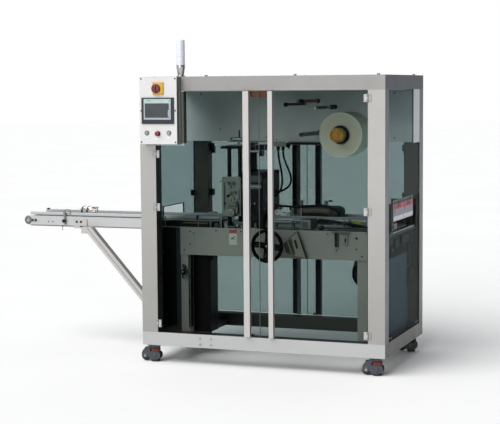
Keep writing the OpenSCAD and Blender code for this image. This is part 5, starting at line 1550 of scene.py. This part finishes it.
# ---------------------------------------------------------------- film unit
def film_unit():
    cx, cz = 1116, 1356
    s = Shape()                                           # wound film with uneven layers and a soft outer rim
    rnd = random.Random(7)
    prof = [(44, 410.5), (50, 411)]
    for k in range(50, 132, 2):
        prof.append((k + 1, 410.4 + rnd.uniform(0, 1.1)))
    prof += [(133.2, 411.5), (134, 414), (134, 616), (133, 619.4)]
    for k in range(131, 50, -2):
        prof.append((k, 619.6 - rnd.uniform(0, 1.1)))
    prof += [(44, 619.5), (44, 410.5)]
    s.lathe((cx, 0, cz), Y, prof, "film", 96)
    s.done("film_wound", "film_reel", "film", "film_roll", angle=50)

    # chuck: turned face with spring arcs, grooved side, dark core ring
    s = Shape()
    s.lathe((cx, 0, cz), Y, soften([(18.2, 323), (30, 323), (40, 323), (42.5, 327), (42.5, 334)], 1.5), "chuck", 64)
    s.lathe((cx, 0, cz), Y,
            soften([(42.5, 334), (42.5, 352), (39, 354), (39, 362), (42.5, 364), (42.5, 384), (40, 386), (40, 618),
                    (18.2, 618), (18.2, 324)], 1.2), "chuck_side", 64)
    s.lathe((cx, 0, cz), Y, soften([(0, 318), (14, 318), (17, 321), (18, 325), (0, 325)], 1), "chuck", 40)
    for k in range(3):
        arc = []
        for i in range(9):
            q = math.radians(40 + 120 * k + 70 * (i / 8 - 0.5))
            arc.append((cx + 31 * math.cos(q), 322.6, cz + 31 * math.sin(q)))
        s.tube(arc, 2.4, "chuck_dark", 8, 2)
        q = math.radians(100 + 120 * k)
        s.capscrew((cx + 31 * math.cos(q), 323.4, cz + 31 * math.sin(q)), FRONT, 3.2, "chuck_dark", 2.4)
    s.lathe((cx, 0, cz), Y, soften([(40.2, 396), (52, 396), (54, 399), (54, 411), (40.2, 411)], 1), "black", 64)
    s.lathe((cx, 0, cz), Y, soften([(54, 405), (58, 406), (58, 411), (54, 411)], 0.6), "film_core", 64)
    s.done("chuck_turned", "film_reel", "chuck_finish", "film_chuck")

    lo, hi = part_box("film_guide_roller")
    gx, gz = ((lo.x + hi.x) / 2 - FLOOR.x) * 1000, (lo.z + hi.z) / 2 * 1000
    s = Shape()                                           # guide roller: red sleeve, dark collar towards the front
    s.lathe((gx, 0, gz), Y,
            soften([(6.3, 356), (9, 356), (10, 358), (10, 636), (9, 639), (6.3, 639), (6.3, 356)], 0.8), "roller_red",
            40)
    s.lathe((gx, 0, gz), Y,
            soften([(6.3, 306), (12.5, 306), (14, 309), (14, 350), (12, 354), (9, 357), (6.3, 357)], 0.8), "black",
            40)
    s.lathe((gx, 0, gz), Y, soften([(6.3, 280), (8.5, 280), (8.5, 306), (6.3, 306)], 0.8), "machined_dark", 32)
    s.done("guide_roller_sleeve", "film_guide_roller", "roller_red", "film_guide_roller")

    s = Shape()                                           # collars and flanges of the bars on the cabinet face
    for x, z, r, f in ((gx, gz, 8, 6), (1005, 1518, 8, 6), (905, 1359, 9, 8), (cx, cz, 20, 12)):
        s.lathe((x, 660, z), FRONT,
                soften([(0, -1), (r + f, -1), (r + f, 5), (r + f / 2, 7), (r + 3, 12), (0, 12)], 1), "dark_metal", 40)
    s.lathe((905, 0, 1359), Y, soften([(0, 296), (10, 296), (12.5, 299), (12.5, 648), (9, 650), (0, 650)], 1.0),
            "bar_slate", 40)
    s.lathe((1005, 0, 1518), Y, soften([(0, 298), (8, 298), (9.5, 300), (9.5, 470), (0, 470)], 1.0), "bar_green", 32)
    s.lathe((1005, 0, 1518), Y, soften([(0, 560), (10, 560), (14, 580), (14, 600), (10, 606), (0, 606)], 1.0),
            "dark_metal", 32)
    s.rod((810, 300, 1537), (810, 660.5, 1537), 8, "black", 24)
    s.lathe((810, 300, 1537), FRONT, soften([(0, -30), (12, -30), (13, -26), (13, 0), (0, 0)], 1.0), "black", 32)
    s.done("shaft_flanges", "machine", "machined_steel")


# ---------------------------------------------------------------- casters
def casters():
    for n, (cx, cy) in enumerate(((60, 50), (FW - 60, 50), (60, FD - 50), (FW - 60, FD - 50)), 1):
        body, wheel = "caster_%d" % n, "caster_wheel_%d" % n
        s = Shape()
        s.box((cx - 36, cy - 36, 100), (cx + 36, cy + 36, 105.6), "black", 2.2)
        s.lathe((cx, cy, 84), Z, soften([(0, 0), (26, 0), (30, 3), (31, 9), (31, 16), (0, 17)], 2), "caster", 48)
        cheek = [(-82, 34), (-78, 26), (-66, 20), (-52, 20), (-42, 28), (-34, 26), (-28, 16), (-10, 12), (18, 12),
                 (32, 20), (38, 34),
                 (37, 50), (30, 60), (-22, 60), (-27, 64), (-26, 76), (-20, 84), (22, 85), (26, 90), (20, 94),
                 (-24, 95), (-46, 90),
                 (-62, 80), (-76, 64), (-82, 48)]
        for y0, y1 in ((-22, -14.4), (14.4, 22)):
            s.plate([(cx + x, z) for x, z in cheek], "y", cy + y0, cy + y1, "caster", 2.6)
        s.box((cx - 66, cy - 15, 68), (cx - 30, cy + 15, 86), "caster", 5)
        s.box((cx - 26, cy - 15, 14), (cx + 30, cy + 15, 58), "caster", 5)
        s.lathe((cx, cy, 14), Z, soften([(0, 0), (25, 0), (27.5, 4), (28, 20), (26, 40), (20, 46), (0, 46)], 2),
                "caster", 48)
        s.lathe((cx + 2, cy, 58), Z, soften([(0, 0), (26, 0), (29, 2.5), (29, 21), (26, 24), (0, 25)], 1.2),
                "dial_red" if cy < 100 else "black", 72, lobes=18, depth=2.8)
        s.rod((cx, cy, 8), (cx, cy, 86), 8, "steel_dim", 24)
        s.lathe((cx, cy, 0), Z, soften([(0, 0.2), (24, 0), (26, 2), (26, 8), (23, 12), (14, 15), (0, 15)], 1.5),
                "tread", 48)
        for x, y in ((-29, -29), (29, -29), (-29, 29), (29, 29)):
            s.hexbolt((cx + x, cy + y, 100.2), DOWN, 8, "steel_dim", False, 4)
        for side in (-1, 1):
            s.lathe((cx - 58, cy + side * 22, 33), (0, side, 0),
                    soften([(0, -1), (14, -1), (15, 1), (11, 3), (0, 3.5)], 0.8), "caster", 36)
            s.hexbolt((cx - 58, cy + side * 24.5, 33), (0, side, 0), 9, "screw_dim", True, 4)
            s.dome((cx + 20, cy + side * 22, 34), (0, side, 0), 3.2, "dark_metal", 1.8)
        s.done("caster_frame_%d" % n, body, "caster_metal", "caster_housing_%d" % n)
        s = Shape()
        s.lathe((cx - 58, cy, 33), Y,
                soften([(4.15, -12), (9, -12), (10, -8), (22, -7), (23.5, -11.2), (29, -11.4), (30, -8), (30, 8),
                        (29, 11.4), (23.5, 11.2), (22, 7), (10, 8), (9, 12), (4.15, 12), (4.15, -12)], 0.8), "tread",
                56)
        s.done("caster_tyre_%d" % n, wheel, "caster_tread", "caster_wheel_%d" % n)


# ---------------------------------------------------------------- chute guard
def chute():
    s = Shape()
    outline = [(860, 744), (925, 798), (980, 642), (893, 651)]
    s.plate(outline, "y", 168.8, 173.2, "chute_paint", 1.0)
    s.tube([(925, 169, 798), (980, 169, 642)], 3.6, "black", 10, 1)
    s.tube([(860, 168.6, 744), (925, 168.6, 798)], 2.6, "steel_dim", 10, 1)
    # painted shadow: two dark plates over the chute's left part
    s.plate([(836, 722), (862, 744), (894, 656), (852, 672)], "y", 169.4, 172, "chute_shadow", 0.6)
    s.plate([(866, 742), (888, 756), (912, 664), (896, 656)], "y", 167.4, 169.2, "chute_shadow", 0.6)
    s.plate([(902, 742), (916, 752), (930, 700), (918, 694)], "y", 166.8, 169.2, "olive_dark", 0.6)
    s.tube([(893, 171, 651), (980, 171, 642)], 2.4, "black", 10, 1)
    s.tube([(860, 171, 744), (893, 171, 651)], 2.4, "chute_paint", 10, 1)
    # painted shadow: a dark line along the chute's left part
    s.tube([(868, 168, 740), (906, 168, 664)], 2.0, "chute_shadow", 8, 1)
    for x, z in ((884, 742), (922, 770), (955, 662), (902, 668)):
        s.dome((x, 168.8, z), FRONT, 3.6, "steel_dim", 2.2)
    s.done("chute_plate", "machine", "dark_sheet", "chute_guard")


control_panel()
enclosure()
conveyor()
bed()
handwheel()
head()
overhead()
outfeed()
film_unit()
casters()
chute()
